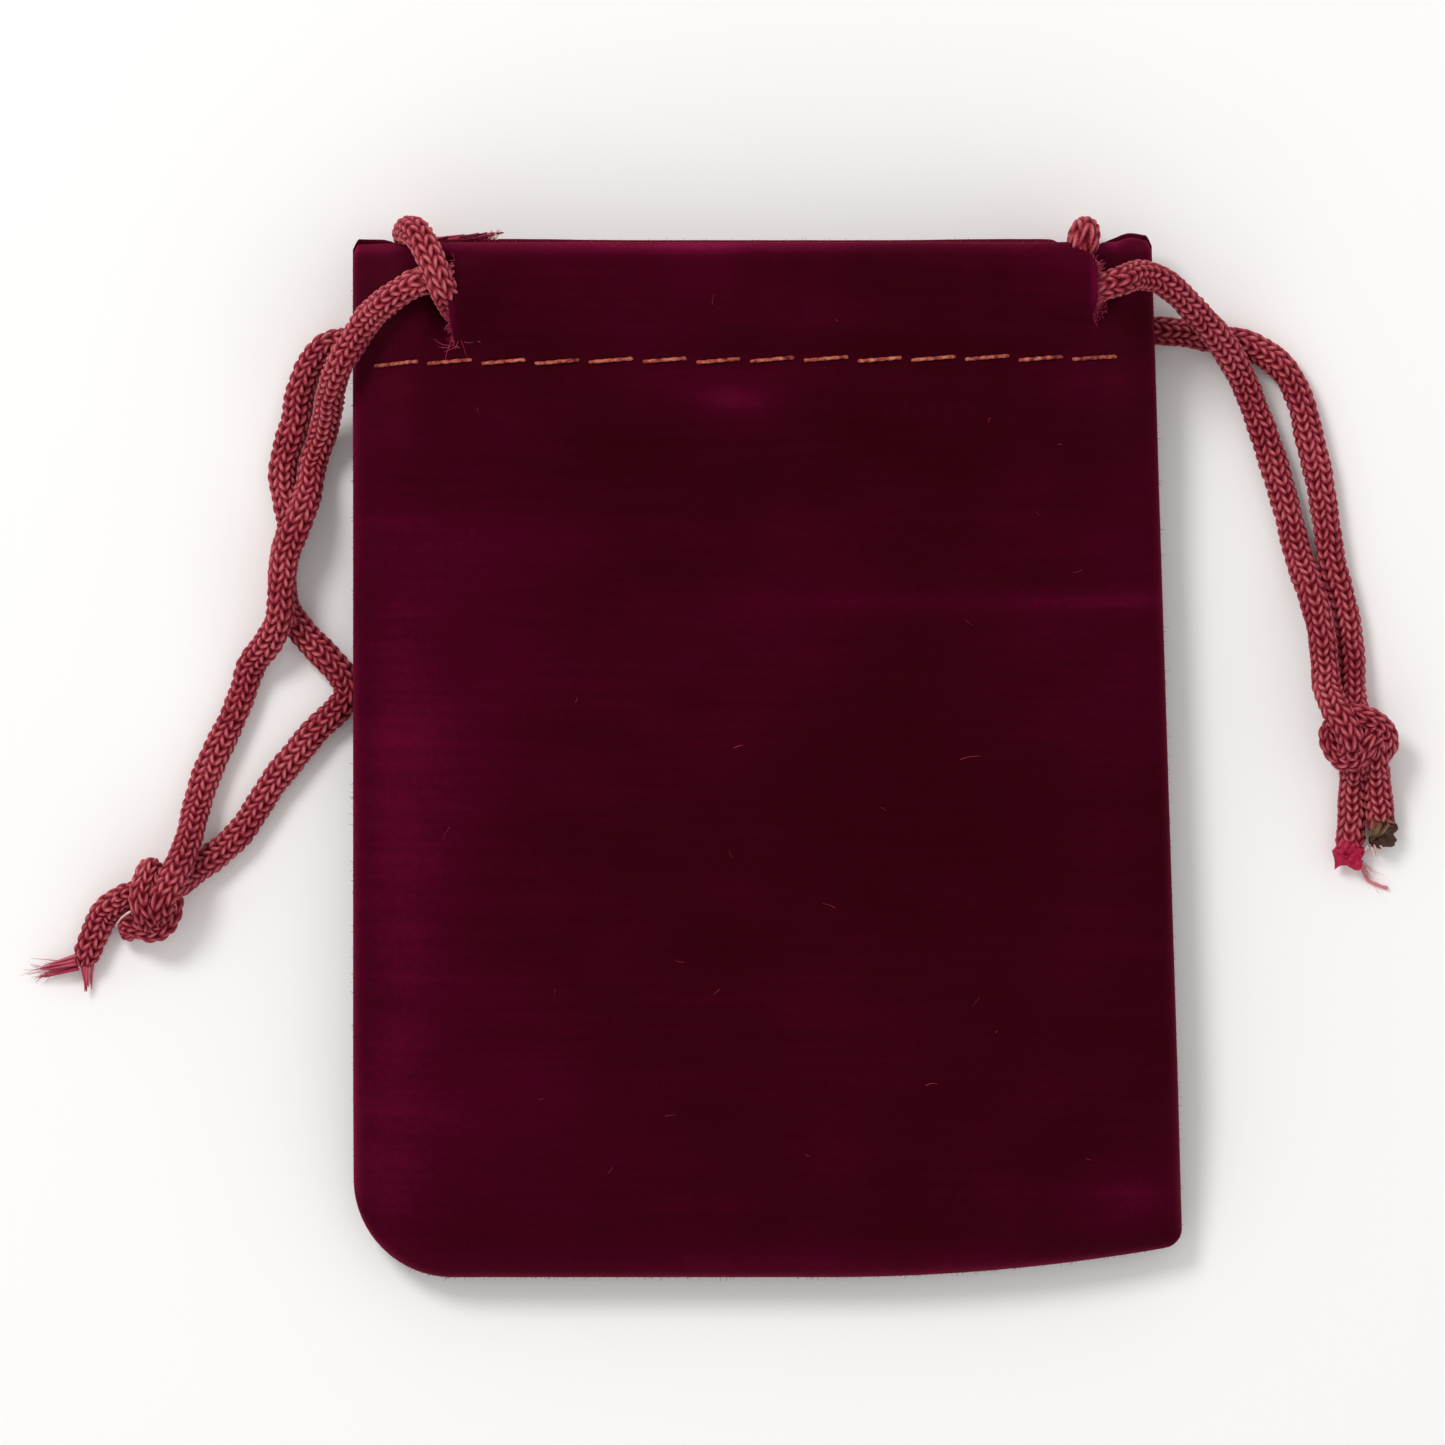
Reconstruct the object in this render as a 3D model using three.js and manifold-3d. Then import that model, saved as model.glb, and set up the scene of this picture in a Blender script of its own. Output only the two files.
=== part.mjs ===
// A velvet drawstring gift pouch lying flat, 7 x 9 cm, with two knitted drawstrings.
// Millimetres, +Z up, +Y towards the mouth. The origin is under the middle of the pouch, on the table.
import * as THREE from "three";
import { mergeVertices } from "three/addons/utils/BufferGeometryUtils.js";
import Module from "manifold-3d";

const wasm = await Module();
wasm.setup();

// Driving dimensions.
const POUCH_LENGTH = 89.6; // bottom seam to the back panel's top fold
const BOTTOM_WIDTH = 71.8;
const MOUTH_WIDTH = 68.8;
const FRONT_TOP_DROP = 0.5; // the front panel's fold sits this far below the back one's
const ROUND_CORNER = 8.5; // radius of the bottom left corner
const SHARP_CORNER = 1.5; // radius of the bottom right corner
const BOTTOM_RISE = 2.8; // the bottom edge climbs this far towards the right corner
const FABRIC = 0.8; // velvet, one layer
const CORD = 2.6; // knitted cord, diameter
const CHANNEL_ROOM = 0.65; // clear height of a channel beyond the cord's own
const CHANNEL_DEPTH = 10.1; // top fold to the row of stitches
const HEM_BELOW_STITCHES = 3.0;
const GROOVE = 0.9; // the stitches pull the fabric in by this
const GROOVE_HALF = 0.6; // half the width of the groove at its floor
const GROOVE_SLOPE = 1.8; // width of each side of the groove
const LAYER_GAP = 0.3; // between two layers of fabric that lie on each other
const SIDE_GAP = 0.8; // between the front and back panels at the side seams
const MOUTH_GAP = 4.6; // the mouth stands open by this in the middle
const SIDE_LIFT = 3.3; // height of the side seams lower down
const BOTTOM_LIFT = 1.2; // height of the bottom seam
const BODY_HEIGHT = 8.4; // the pouch's thickness below the channel
const LEFT_SLIT = 9.5; // slit centre from the left edge
const RIGHT_SLIT = 6.0; // slit centre from the right edge
const SLIT_ROOM = 1.2; // what a slit held open by two cords has beyond them
const STITCH_PITCH = 4.6;
const STITCH = 3.4; // length of one visible stitch
const THREAD = 0.44;
const THREAD_CLEARANCE = 0.18;
const CLEARANCE = 0.3; // cord to fabric, and end to end
const UNDER_ROOM = 0.4; // between a mouth corner and the table, beyond the cord that passes under it

// Places worked out from them.
const LEFT = -BOTTOM_WIDTH / 2;
const BACK_TOP = POUCH_LENGTH / 2;
const FRONT_TOP = BACK_TOP - FRONT_TOP_DROP;
const BOTTOM = -POUCH_LENGTH / 2;
const STITCH_Y = FRONT_TOP - CHANNEL_DEPTH;
const HEM_END_Y = STITCH_Y - HEM_BELOW_STITCHES;
const CHANNEL_SHUT_Y = STITCH_Y + GROOVE_HALF;
const CHANNEL_OPEN_Y = CHANNEL_SHUT_Y + GROOVE_SLOPE;
const BODY_TOP_Y = STITCH_Y - 14;
const HALF_CORD = CORD / 2;
const CHANNEL = CORD + CHANNEL_ROOM;
const CORNER_LIFT = CORD + UNDER_ROOM;
const SLIT_OPEN = 2 * CORD + SLIT_ROOM;
const NEAR_FOLD = FRONT_TOP_DROP + FABRIC + HALF_CORD + 0.1; // back top edge to a cord that touches the fold
const CORNER_TOP = CORNER_LIFT + 4 * FABRIC + 2 * CHANNEL + SIDE_GAP;
const MIDDLE_TOP = 4 * FABRIC + 2 * CHANNEL + MOUTH_GAP;
const SEAM_TOP = CORNER_LIFT + 4 * FABRIC + 2 * LAYER_GAP + SIDE_GAP;
const LEFT_CORNER = new THREE.Vector3(LEFT, BACK_TOP, 0);
const RIGHT_CORNER = new THREE.Vector3(LEFT + MOUTH_WIDTH, BACK_TOP, 0);

// Heights of a cord's middle: over the mouth corner, off its side seam, in each channel and under the corner.
const ON_TOP = CORNER_TOP + CLEARANCE + HALF_CORD;
const OFF_SEAM = SEAM_TOP + CLEARANCE + HALF_CORD;
const IN_FRONT = CORNER_TOP - FABRIC - CHANNEL / 2;
const IN_BACK = CORNER_LIFT + FABRIC + CHANNEL / 2;
const UNDER = CORNER_LIFT - CLEARANCE - HALF_CORD;
const OVER_MIDDLE = MIDDLE_TOP + 0.15 + HALF_CORD;
const FLOOR = HALF_CORD + 0.05;

const velvet = (color) => new THREE.MeshStandardMaterial({ color, roughness: 0.95, metalness: 0 });
const knit = (color) => new THREE.MeshStandardMaterial({ color, roughness: 0.8, metalness: 0 });

const mix = THREE.MathUtils.lerp;
const ease = (x, low, high) => THREE.MathUtils.smoothstep(x, low, high);
const ramp = (x, low, high) => THREE.MathUtils.clamp((x - low) / (high - low), 0, 1);
const bulge = (t) => Math.sqrt(1 - (1 - THREE.MathUtils.clamp(t, 0, 1)) ** 2);

// ---- The pouch's outline and the height of its two outer faces.

function widthAt(y) {
  return mix(BOTTOM_WIDTH, MOUTH_WIDTH, (y - BOTTOM) / POUCH_LENGTH);
}

function bottomAt(x) {
  const fromLeft = ROUND_CORNER - Math.min(x - LEFT, ROUND_CORNER);
  const fromRight = SHARP_CORNER - Math.min(LEFT + BOTTOM_WIDTH - x, SHARP_CORNER);
  const round = ROUND_CORNER - Math.sqrt(ROUND_CORNER ** 2 - fromLeft ** 2);
  const sharp = SHARP_CORNER - Math.sqrt(Math.max(SHARP_CORNER ** 2 - fromRight ** 2, 0));
  const climb = Math.max((x - LEFT) / BOTTOM_WIDTH - 0.57, 0) / 0.43;
  return BOTTOM + round + sharp + BOTTOM_RISE * climb ** 2;
}

function fromSide(x, y) {
  return Math.max(Math.min(x - LEFT, LEFT + widthAt(y) - x), 0);
}

// Clear height inside a channel: closed at the side seams and at the stitches, open over the cords.
function channelOpening(x, y) {
  return mix(LAYER_GAP, CHANNEL, ease(fromSide(x, y), 0.5, LEFT_SLIT - 3.3));
}

function channelAt(x, y) {
  return mix(LAYER_GAP, channelOpening(x, y), ramp(y, CHANNEL_SHUT_Y, CHANNEL_OPEN_Y));
}

function mouthBack(x, y) {
  return CORNER_LIFT * (1 - ease(fromSide(x, y), 13, 24));
}

function mouthFront(x, y) {
  const gap = mix(SIDE_GAP, MOUTH_GAP, ease(fromSide(x, y), 12, 23));
  return mouthBack(x, y) + 4 * FABRIC + 2 * channelOpening(x, y) + gap;
}

function bodyLift(y) {
  return mix(BOTTOM_LIFT, SIDE_LIFT, ease(y, BOTTOM + 3, BOTTOM + 20));
}

function bodyBack(x, y) {
  return bodyLift(y) * (1 - ease(fromSide(x, y), 0, 16) * ease(y - bottomAt(x), 0, 14));
}

function bodyFront(x, y) {
  const seam = bodyLift(y) + 2 * FABRIC + SIDE_GAP;
  return seam + (BODY_HEIGHT - seam) * bulge(fromSide(x, y) / 16) * bulge((y - bottomAt(x)) / 16);
}

// The groove along the stitches fades out towards the side seams.
function grooveAt(x, y) {
  const fromStitches = ramp(Math.abs(y - STITCH_Y), GROOVE_HALF, GROOVE_HALF + GROOVE_SLOPE);
  return GROOVE * ease(fromSide(x, y), 1, 6) * (1 - fromStitches);
}

function backFace(x, y) {
  return mix(bodyBack(x, y), mouthBack(x, y), ease(y, BODY_TOP_Y, STITCH_Y)) + grooveAt(x, y);
}

function frontFace(x, y) {
  return mix(bodyFront(x, y), mouthFront(x, y), ease(y, BODY_TOP_Y, STITCH_Y)) - grooveAt(x, y);
}

// ---- One velvet panel: a strip up from the bottom seam, folded over at the mouth and ending as a hem.

const COLUMNS = 24;
const POCKET_ROWS = 13;
const FOLD_ROWS = 5;

// The panel's rows from the bottom edge to the fold, with one at each edge of the stitched groove.
function rowsUp(bottom, foldY) {
  const pocket = Array.from({ length: POCKET_ROWS }, (_, i) => {
    const s = i / POCKET_ROWS;
    return mix(bottom, STITCH_Y - GROOVE_HALF - GROOVE_SLOPE, s - 0.115 * Math.sin(2 * Math.PI * s));
  });
  const low = STITCH_Y - GROOVE_HALF;
  return [...pocket, low - GROOVE_SLOPE, low, ...rowsOverChannel(foldY)];
}

function rowsOverChannel(foldY) {
  const shares = [0, 1 / 3, 2 / 3, 1];
  return [CHANNEL_SHUT_Y, ...shares.map((s) => mix(CHANNEL_OPEN_Y, foldY, s))];
}

function rowsDown(foldY) {
  return [...rowsOverChannel(foldY).reverse(), STITCH_Y - GROOVE_HALF, HEM_END_Y];
}

const LAST_ROW_UP = rowsUp(0, FRONT_TOP).length - 1;
const HEM_ROWS = rowsDown(FRONT_TOP).length - 1;

function panelPoint(u, row, depth, top, isFront) {
  const across = (u + 1) / 2;
  const xAtBottom = LEFT + across * BOTTOM_WIDTH;
  const xAtTop = LEFT + across * MOUTH_WIDTH;
  const face = isFront ? frontFace : backFace;
  const inwards = isFront ? -1 : 1;
  const channel = channelAt(xAtTop, BACK_TOP);
  const foldRadius = FABRIC + channel / 2;
  const foldY = top - foldRadius;
  if (row <= LAST_ROW_UP) {
    const y = rowsUp(bottomAt(xAtBottom), foldY)[row];
    const x = LEFT + across * widthAt(y);
    return [x, y, face(x, y) + inwards * depth];
  }
  if (row <= LAST_ROW_UP + FOLD_ROWS) {
    const turn = (Math.PI * (row - LAST_ROW_UP)) / FOLD_ROWS;
    const y = foldY + (foldRadius - depth) * Math.sin(turn);
    const x = LEFT + across * widthAt(foldY);
    const middle = face(x, foldY) + inwards * foldRadius;
    return [x, y, middle - inwards * (foldRadius - depth) * Math.cos(turn)];
  }
  const y = rowsDown(foldY)[row - LAST_ROW_UP - FOLD_ROWS];
  const x = LEFT + across * widthAt(y);
  return [x, y, face(x, y) + inwards * (2 * FABRIC + channelAt(x, y) - depth)];
}

function panelGeometry(top, isFront) {
  const rows = LAST_ROW_UP + FOLD_ROWS + HEM_ROWS;
  const strip = new THREE.BoxGeometry(2, rows, FABRIC, COLUMNS, rows, 1);
  const position = strip.getAttribute("position");
  for (let i = 0; i < position.count; i++) {
    const u = position.getX(i) + 0.15 * Math.sin(Math.PI * position.getX(i));
    const row = Math.round(position.getY(i) + rows / 2);
    const depth = FABRIC / 2 - position.getZ(i) * (isFront ? 1 : -1);
    position.setXYZ(i, ...panelPoint(u, row, depth, top, isFront));
  }
  return strip;
}

function solidOf(geometry) {
  const bare = geometry.clone();
  bare.deleteAttribute("normal");
  bare.deleteAttribute("uv");
  const merged = mergeVertices(bare, 1e-4);
  const vertProperties = merged.getAttribute("position").array;
  const triVerts = new Uint32Array(merged.index.array);
  return new wasm.Manifold(new wasm.Mesh({ numProp: 3, vertProperties, triVerts }));
}

function geometryOf(solid) {
  const mesh = solid.getMesh();
  const geometry = new THREE.BufferGeometry();
  geometry.setAttribute("position", new THREE.BufferAttribute(mesh.vertProperties, 3));
  geometry.setIndex(new THREE.BufferAttribute(mesh.triVerts, 1));
  const flat = geometry.toNonIndexed();
  flat.computeVertexNormals();
  return flat;
}

function box(low, high) {
  const size = new THREE.Vector3().subVectors(high, low);
  const middle = new THREE.Vector3().addVectors(low, high).multiplyScalar(0.5);
  return solidOf(new THREE.BoxGeometry(size.x, size.y, size.z).translate(middle.x, middle.y, middle.z));
}

// The hole where two cords hold a slit open, from the middle of the channel outwards.
function slitHole(x, lowY, highY, isFront) {
  const inside = isFront ? IN_FRONT : -5;
  const outside = isFront ? IN_FRONT + 9 : IN_BACK;
  const low = new THREE.Vector3(x - SLIT_OPEN / 2, BACK_TOP + lowY, inside);
  const high = new THREE.Vector3(x + SLIT_OPEN / 2, BACK_TOP + highY, outside);
  return box(low, high);
}

function stitchStarts() {
  const first = LEFT + 2.2;
  const count = Math.floor((widthAt(STITCH_Y) - 4.4 + STITCH_PITCH - STITCH) / STITCH_PITCH);
  return Array.from({ length: count }, (_, i) => first + i * STITCH_PITCH);
}

// The needle holes between two stitches, which the thread goes down and up through.
function needleHole(start, isFront) {
  const middle = start + (STITCH + STITCH_PITCH) / 2;
  const z = (isFront ? frontFace : backFace)(middle, STITCH_Y);
  const half = (STITCH_PITCH - STITCH) / 2 + THREAD / 2 + 0.05;
  return box(
    new THREE.Vector3(middle - half, STITCH_Y - THREAD, z - 4),
    new THREE.Vector3(middle + half, STITCH_Y + THREAD, z + 4),
  );
}

function velvetPanel(name, color, isFront) {
  let cloth = solidOf(panelGeometry(isFront ? FRONT_TOP : BACK_TOP, isFront));
  cloth = cloth.subtract(slitHole(LEFT_CORNER.x + LEFT_SLIT, -8.7, -1.9, isFront));
  cloth = cloth.subtract(slitHole(RIGHT_CORNER.x - RIGHT_SLIT, -7.4, 2, isFront));
  for (const start of stitchStarts().slice(0, -1)) {
    cloth = cloth.subtract(needleHole(start, isFront));
  }
  return piece(name, geometryOf(cloth), velvet(color));
}

// ---- Cords and threads.

function piece(name, geometry, material) {
  const mesh = new THREE.Mesh(geometry, material);
  mesh.name = name;
  return mesh;
}

function tube(points, diameter, sides, step) {
  const route = new THREE.CatmullRomCurve3(points, false, "centripetal");
  const corners = Array.from({ length: sides }, (_, i) => {
    const turn = (2 * Math.PI * i) / sides;
    return new THREE.Vector2(Math.cos(turn), Math.sin(turn)).multiplyScalar(diameter / 2);
  });
  const steps = Math.ceil(route.getLength() / step);
  const options = { steps, extrudePath: route, bevelEnabled: false };
  return new THREE.ExtrudeGeometry(new THREE.Shape(corners), options);
}

function cordPiece(name, points, step = CORD) {
  return piece(name, tube(points, CORD, 8, step), knit(0xa83246));
}

const vectors = (list) => list.map(([x, y, z]) => new THREE.Vector3(x, y, z));
const at = (corner, list) => vectors(list).map((point) => point.add(corner));

// Cord along a channel, from one slit to the other, at a height that follows the panel.
function lane(leftY, rightY, isFront) {
  const first = LEFT_CORNER.x + LEFT_SLIT + 4.7;
  const last = RIGHT_CORNER.x - RIGHT_SLIT - 4.7;
  return Array.from({ length: 13 }, (_, i) => {
    const x = mix(first, last, i / 12);
    const y = BACK_TOP + mix(leftY, rightY, i / 12);
    const face = isFront ? frontFace(x, y) : backFace(x, y);
    return new THREE.Vector3(x, y, face + (isFront ? -1 : 1) * (FABRIC + CHANNEL / 2));
  });
}

function seamThread() {
  const inset = 1.0;
  const points = [];
  const add = (x, y) => points.push(new THREE.Vector3(x, y, (frontFace(x, y) + backFace(x, y)) / 2));
  const radius = ROUND_CORNER - inset;
  for (let i = 0; i <= 8; i++) add(LEFT + inset, mix(FRONT_TOP - 3.4, BOTTOM + ROUND_CORNER, i / 8));
  for (let i = 1; i <= 4; i++) {
    const turn = Math.PI * (1 + i / 8);
    add(LEFT + ROUND_CORNER + radius * Math.cos(turn), BOTTOM + ROUND_CORNER + radius * Math.sin(turn));
  }
  const right = LEFT + BOTTOM_WIDTH - 2.2;
  for (let i = 1; i <= 7; i++) {
    const x = mix(LEFT + ROUND_CORNER, right - 0.6, i / 7);
    add(x, bottomAt(x) + inset);
  }
  for (let i = 0; i <= 9; i++) {
    const y = mix(bottomAt(right) + inset + 1.6, FRONT_TOP - 3.4, i / 9);
    add(LEFT + widthAt(y) - inset, y);
  }
  return piece("seam_thread", tube(points, THREAD, 5, 3.2), knit(0x6e0f2e));
}

// One continuous thread that shows as a row of stitches on the face and small loops under the hem.
function channelThread(name, isFront) {
  const face = isFront ? frontFace : backFace;
  const outwards = isFront ? 1 : -1;
  const reach = THREAD / 2 + THREAD_CLEARANCE;
  const through = 2 * FABRIC + LAYER_GAP;
  const points = [];
  const add = (x, depth) => {
    const slope = (face(x + 0.2, STITCH_Y) - face(x - 0.2, STITCH_Y)) / 0.4;
    const lean = Math.hypot(1, slope);
    const out = depth < 0 ? -through - reach * lean : reach * lean;
    points.push(new THREE.Vector3(x, STITCH_Y, face(x, STITCH_Y) + outwards * (depth ? out : -through / 2)));
  };
  const leg = (STITCH_PITCH - STITCH) / 2 - 0.28;
  for (const [i, start] of stitchStarts().entries()) {
    add(start, 1);
    add(start + STITCH / 2, 1);
    add(start + STITCH, 1);
    if (i === stitchStarts().length - 1) break;
    const middle = start + (STITCH + STITCH_PITCH) / 2;
    add(middle - leg, 0);
    add(middle, -1);
    add(middle + leg, 0);
  }
  return piece(name, tube(points, THREAD, 5, 0.75), knit(0xb4533f));
}

// Each end of a run climbs out of its slit and stops where the sliding part of the cord begins.
function leftCordRun(name, isFront) {
  const level = (share) => (isFront ? mix(IN_FRONT, ON_TOP, share) : mix(IN_BACK, UNDER, share));
  const leftEnd = [
    [5.6, -4.1, level(1)],
    [6.5, -3.9, level(1)],
    [7.7, -3.7, level(0.84)],
    [8.8, -3.6, level(0.49)],
    [10.0, -3.5, level(0.12)],
    [11.6, -3.5, level(0)],
  ];
  const rightEnd = [
    [-9.4, -NEAR_FOLD, level(0)],
    [-7.8, -NEAR_FOLD, level(0.13)],
    [-6.7, -2.6, level(0.44)],
    [-6.25, -2.3, level(0.8)],
    [-6.15, -1.9, level(1)],
  ];
  const overEdge = [
    [-6.0, -0.6, UNDER],
    [-5.9, 0.5, UNDER + 0.3],
    [-5.85, 1.35, UNDER + 1.5],
    [-5.8, 1.6, UNDER + 2.8],
  ];
  const right = isFront ? rightEnd : [...rightEnd, ...overEdge];
  const along = lane(-NEAR_FOLD - 0.8, -NEAR_FOLD, isFront);
  return cordPiece(name, [...at(LEFT_CORNER, leftEnd), ...along, ...at(RIGHT_CORNER, right)]);
}

function rightCordRun(name, isFront) {
  const level = (share) => (isFront ? mix(IN_FRONT, ON_TOP, share) : mix(IN_BACK, UNDER, share));
  const leftEnd = [
    [10.4, -5.5, level(1)],
    [10.5, -6.2, level(0.86)],
    [10.9, -6.9, level(0.5)],
    [11.9, -7.1, level(0.18)],
    [13.2, -7.1, level(0)],
  ];
  const overEdge = [
    [4.8, 1.6, UNDER + 2.8],
    [5.3, 1.4, UNDER + 1.4],
    [6.6, 0.6, UNDER + 0.2],
    [8.2, -0.4, UNDER],
    [9.6, -1.5, UNDER],
    [10.5, -2.9, UNDER],
    [10.6, -4.2, UNDER],
  ];
  const rightEnd = [
    [-9.6, -5.6, level(0)],
    [-8.0, -5.5, level(0.06)],
    [-6.8, -5.4, level(0.28)],
    [-5.7, isFront ? -5.1 : -5.9, level(0.58)],
    [-4.7, isFront ? -4.7 : -6.3, level(isFront ? 0.72 : 0.88)],
  ];
  const left = isFront ? leftEnd : [...overEdge, ...leftEnd];
  const along = lane(-7.1, -5.6, isFront);
  return cordPiece(name, [...at(LEFT_CORNER, left), ...along, ...at(RIGHT_CORNER, rightEnd)]);
}

// The left cord's loop passes over the mouth's right corner, and the right cord's over the left corner.
const LEFT_CORD_LOOP = [
  [-6.15, -1.55, ON_TOP + 0.65],
  [-6.05, -0.8, OVER_MIDDLE + 0.8],
  [-6.0, 0.3, OVER_MIDDLE + 0.8],
  [-5.9, 1.3, OVER_MIDDLE - 0.2],
  [-5.85, 1.65, OVER_MIDDLE - 2],
  [-5.8, 1.65, IN_FRONT - 1],
  [-5.8, 1.65, IN_BACK + 1],
  [-5.8, 1.6, UNDER + 3.2],
];

const RIGHT_CORD_LOOP = [
  [10.35, -4.8, OVER_MIDDLE + 0.1],
  [9.9, -3.2, OVER_MIDDLE + 0.6],
  [8.8, -1.2, OVER_MIDDLE + 0.85],
  [7.4, 0.5, OVER_MIDDLE + 0.4],
  [6.3, 1.4, OVER_MIDDLE - 1.1],
  [5.4, 1.65, OVER_MIDDLE - 3.3],
  [4.8, 1.65, IN_BACK + 4],
  [4.6, 1.65, IN_BACK + 1.8],
  [4.7, 1.6, UNDER + 3.2],
];

const LEFT_CORD_FRONT_STRAND = [
  [4.7, -4.6, ON_TOP - 0.3],
  [3.6, -5.3, ON_TOP - 1.0],
  [1.6, -6.9, OFF_SEAM + 2.4],
  [0.2, -8.9, OFF_SEAM + 1.0],
  [-1.1, -11.0, OFF_SEAM - 0.3],
  [-1.8, -13.0, 6.6],
  [-2.2, -15.0, 4.2],
  [-2.8, -17.2, 2.5],
  [-3.5, -19.2, 2.15],
  [-3.9, -21.7, 3.1],
  [-4.7, -24.2, 4.1],
  [-5.9, -27.4, 4.15],
  [-6.2, -30.2, 4.15],
  [-6.4, -32.8, 3.8],
  [-7.4, -34.8, 2.6],
  [-8.8, -36.6, 1.6],
  [-9.6, -39.0, FLOOR],
  [-10.6, -41.5, FLOOR],
  [-11.8, -44.0, FLOOR],
  [-12.9, -46.6, FLOOR + 0.1],
  [-13.7, -49.4, FLOOR + 0.6],
  [-14.2, -51.7, 3.3],
  [-14.6, -53.0, 4.2],
];

const LEFT_CORD_BACK_STRAND = [
  [4.8, -4.8, UNDER],
  [3.4, -6.1, UNDER],
  [1.2, -7.9, UNDER],
  [-0.6, -8.7, UNDER],
  [-2.4, -9.1, FLOOR],
  [-3.8, -10.8, FLOOR],
  [-4.6, -12.9, FLOOR],
  [-5.1, -15.7, FLOOR],
  [-5.8, -17.9, FLOOR],
  [-6.2, -20.3, FLOOR],
  [-5.8, -22.6, FLOOR],
  [-5.4, -24.6, FLOOR],
  [-6.0, -27.3, FLOOR],
  [-6.2, -29.8, FLOOR],
  [-5.7, -32.0, FLOOR],
  [-4.3, -34.0, FLOOR],
  [-2.5, -35.9, FLOOR],
  [-1.0, -37.6, FLOOR],
  [-0.5, -38.9, FLOOR],
  [-1.3, -40.4, FLOOR],
  [-3.3, -42.3, FLOOR],
  [-5.1, -44.5, FLOOR],
  [-6.8, -46.6, FLOOR],
  [-8.3, -48.9, FLOOR],
  [-9.8, -51.1, FLOOR],
  [-11.6, -52.8, FLOOR],
  [-13.6, -54.2, FLOOR],
  [-14.1, -54.9, FLOOR],
];

const RIGHT_CORD_FRONT_STRAND = [
  [-3.9, -4.3, ON_TOP - 1.4],
  [-3.0, -3.9, ON_TOP - 1.8],
  [-1.3, -3.3, OFF_SEAM + 2.1],
  [0.4, -3.6, OFF_SEAM + 0.7],
  [2.1, -4.7, OFF_SEAM - 0.7],
  [4.0, -6.6, 6.6],
  [6.0, -8.8, 4.6],
  [7.9, -11.9, 2.6],
  [9.2, -15.0, 1.6],
  [10.4, -18.4, FLOOR],
  [11.7, -22.8, FLOOR],
  [12.8, -27.1, 1.5],
  [14.0, -30.8, 2.8],
  [14.7, -33.7, 3.2],
  [15.0, -36.5, 3.2],
  [15.1, -38.3, 3.4],
  [15.3, -39.3, 3.5],
];

const RIGHT_CORD_BACK_STRAND = [
  [-3.8, -6.8, UNDER + 0.1],
  [-2.6, -7.2, UNDER],
  [-0.8, -7.7, UNDER],
  [0.8, -7.8, UNDER],
  [2.9, -8.0, FLOOR],
  [5.0, -8.4, FLOOR],
  [8.8, -9.2, FLOOR],
  [11.5, -11.1, FLOOR],
  [13.0, -13.9, FLOOR],
  [13.8, -17.2, FLOOR],
  [14.6, -20.5, FLOOR],
  [15.3, -25.0, FLOOR],
  [15.8, -28.3, FLOOR],
  [16.5, -30.9, FLOOR],
  [17.1, -33.6, FLOOR],
  [17.4, -36.5, FLOOR + 0.1],
  [17.2, -39.4, FLOOR + 0.6],
];

const LEFT_KNOT = [-17.0, -57.4, 3.0];
const RIGHT_KNOT = [17.9, -43.1, 3.0];
const LEFT_LONG_TAIL = [
  [-20.6, -57.4, 2.0],
  [-21.6, -58.2, 1.5],
  [-22.3, -59.7, FLOOR],
  [-23.0, -61.6, FLOOR],
  [-23.8, -63.6, FLOOR],
];
const LEFT_SHORT_TAIL = [
  [-18.9, -60.3, FLOOR + 0.1],
  [-19.6, -60.5, FLOOR],
  [-20.6, -60.4, FLOOR],
];
const RIGHT_RED_TAIL = [
  [16.5, -46.5, 1.6],
  [16.6, -48.5, FLOOR],
  [16.9, -51.0, FLOOR],
  [17.1, -53.4, FLOOR],
];
const RIGHT_BURNT_TAIL = [
  [19.4, -46.4, 1.6],
  [19.6, -47.9, FLOOR],
  [19.8, -49.6, FLOOR],
  [20.0, -51.2, FLOOR],
];

// A doubled overhand knot: a pulled-tight middle with two turns of cord round it.
function knot(name, place, turns) {
  let lump = solidOf(new THREE.SphereGeometry(1, 14, 10).scale(2.9, 2.7, 2.6));
  for (const [tiltX, tiltZ, x, y] of turns) {
    const ring = new THREE.TorusGeometry(1.75, 1.15, 8, 14).rotateX(tiltX).rotateZ(tiltZ).translate(x, y, 0);
    lump = lump.add(solidOf(ring));
  }
  const mesh = piece(name, geometryOf(lump), knit(0x963044));
  mesh.position.set(...place);
  return mesh;
}

// ---- The pouch, and the four groups that slide when the drawstrings are pulled.

const pouch = new THREE.Group();
pouch.add(
  velvetPanel("front_panel", 0x43061f, true),
  velvetPanel("back_panel", 0x3a061b, false),
  channelThread("front_channel_thread", true),
  channelThread("back_channel_thread", false),
  seamThread(),
  leftCordRun("left_cord_front_run", true),
  leftCordRun("left_cord_back_run", false),
  rightCordRun("right_cord_front_run", true),
  rightCordRun("right_cord_back_run", false),
);

const leftCorner = new THREE.Group();
leftCorner.position.copy(LEFT_CORNER);
leftCorner.add(
  cordPiece("right_cord_loop", vectors(RIGHT_CORD_LOOP)),
  cordPiece("left_cord_front_strand", vectors(LEFT_CORD_FRONT_STRAND), 1.6 * CORD),
  cordPiece("left_cord_back_strand", vectors(LEFT_CORD_BACK_STRAND), 1.6 * CORD),
  knot("left_knot", LEFT_KNOT, [
    [1.2, 0.9, 0.4, 1.0],
    [1.3, -0.6, 0.3, -1.0],
  ]),
  cordPiece("left_long_tail", vectors(LEFT_LONG_TAIL)),
  cordPiece("left_short_tail", vectors(LEFT_SHORT_TAIL)),
);

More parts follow.
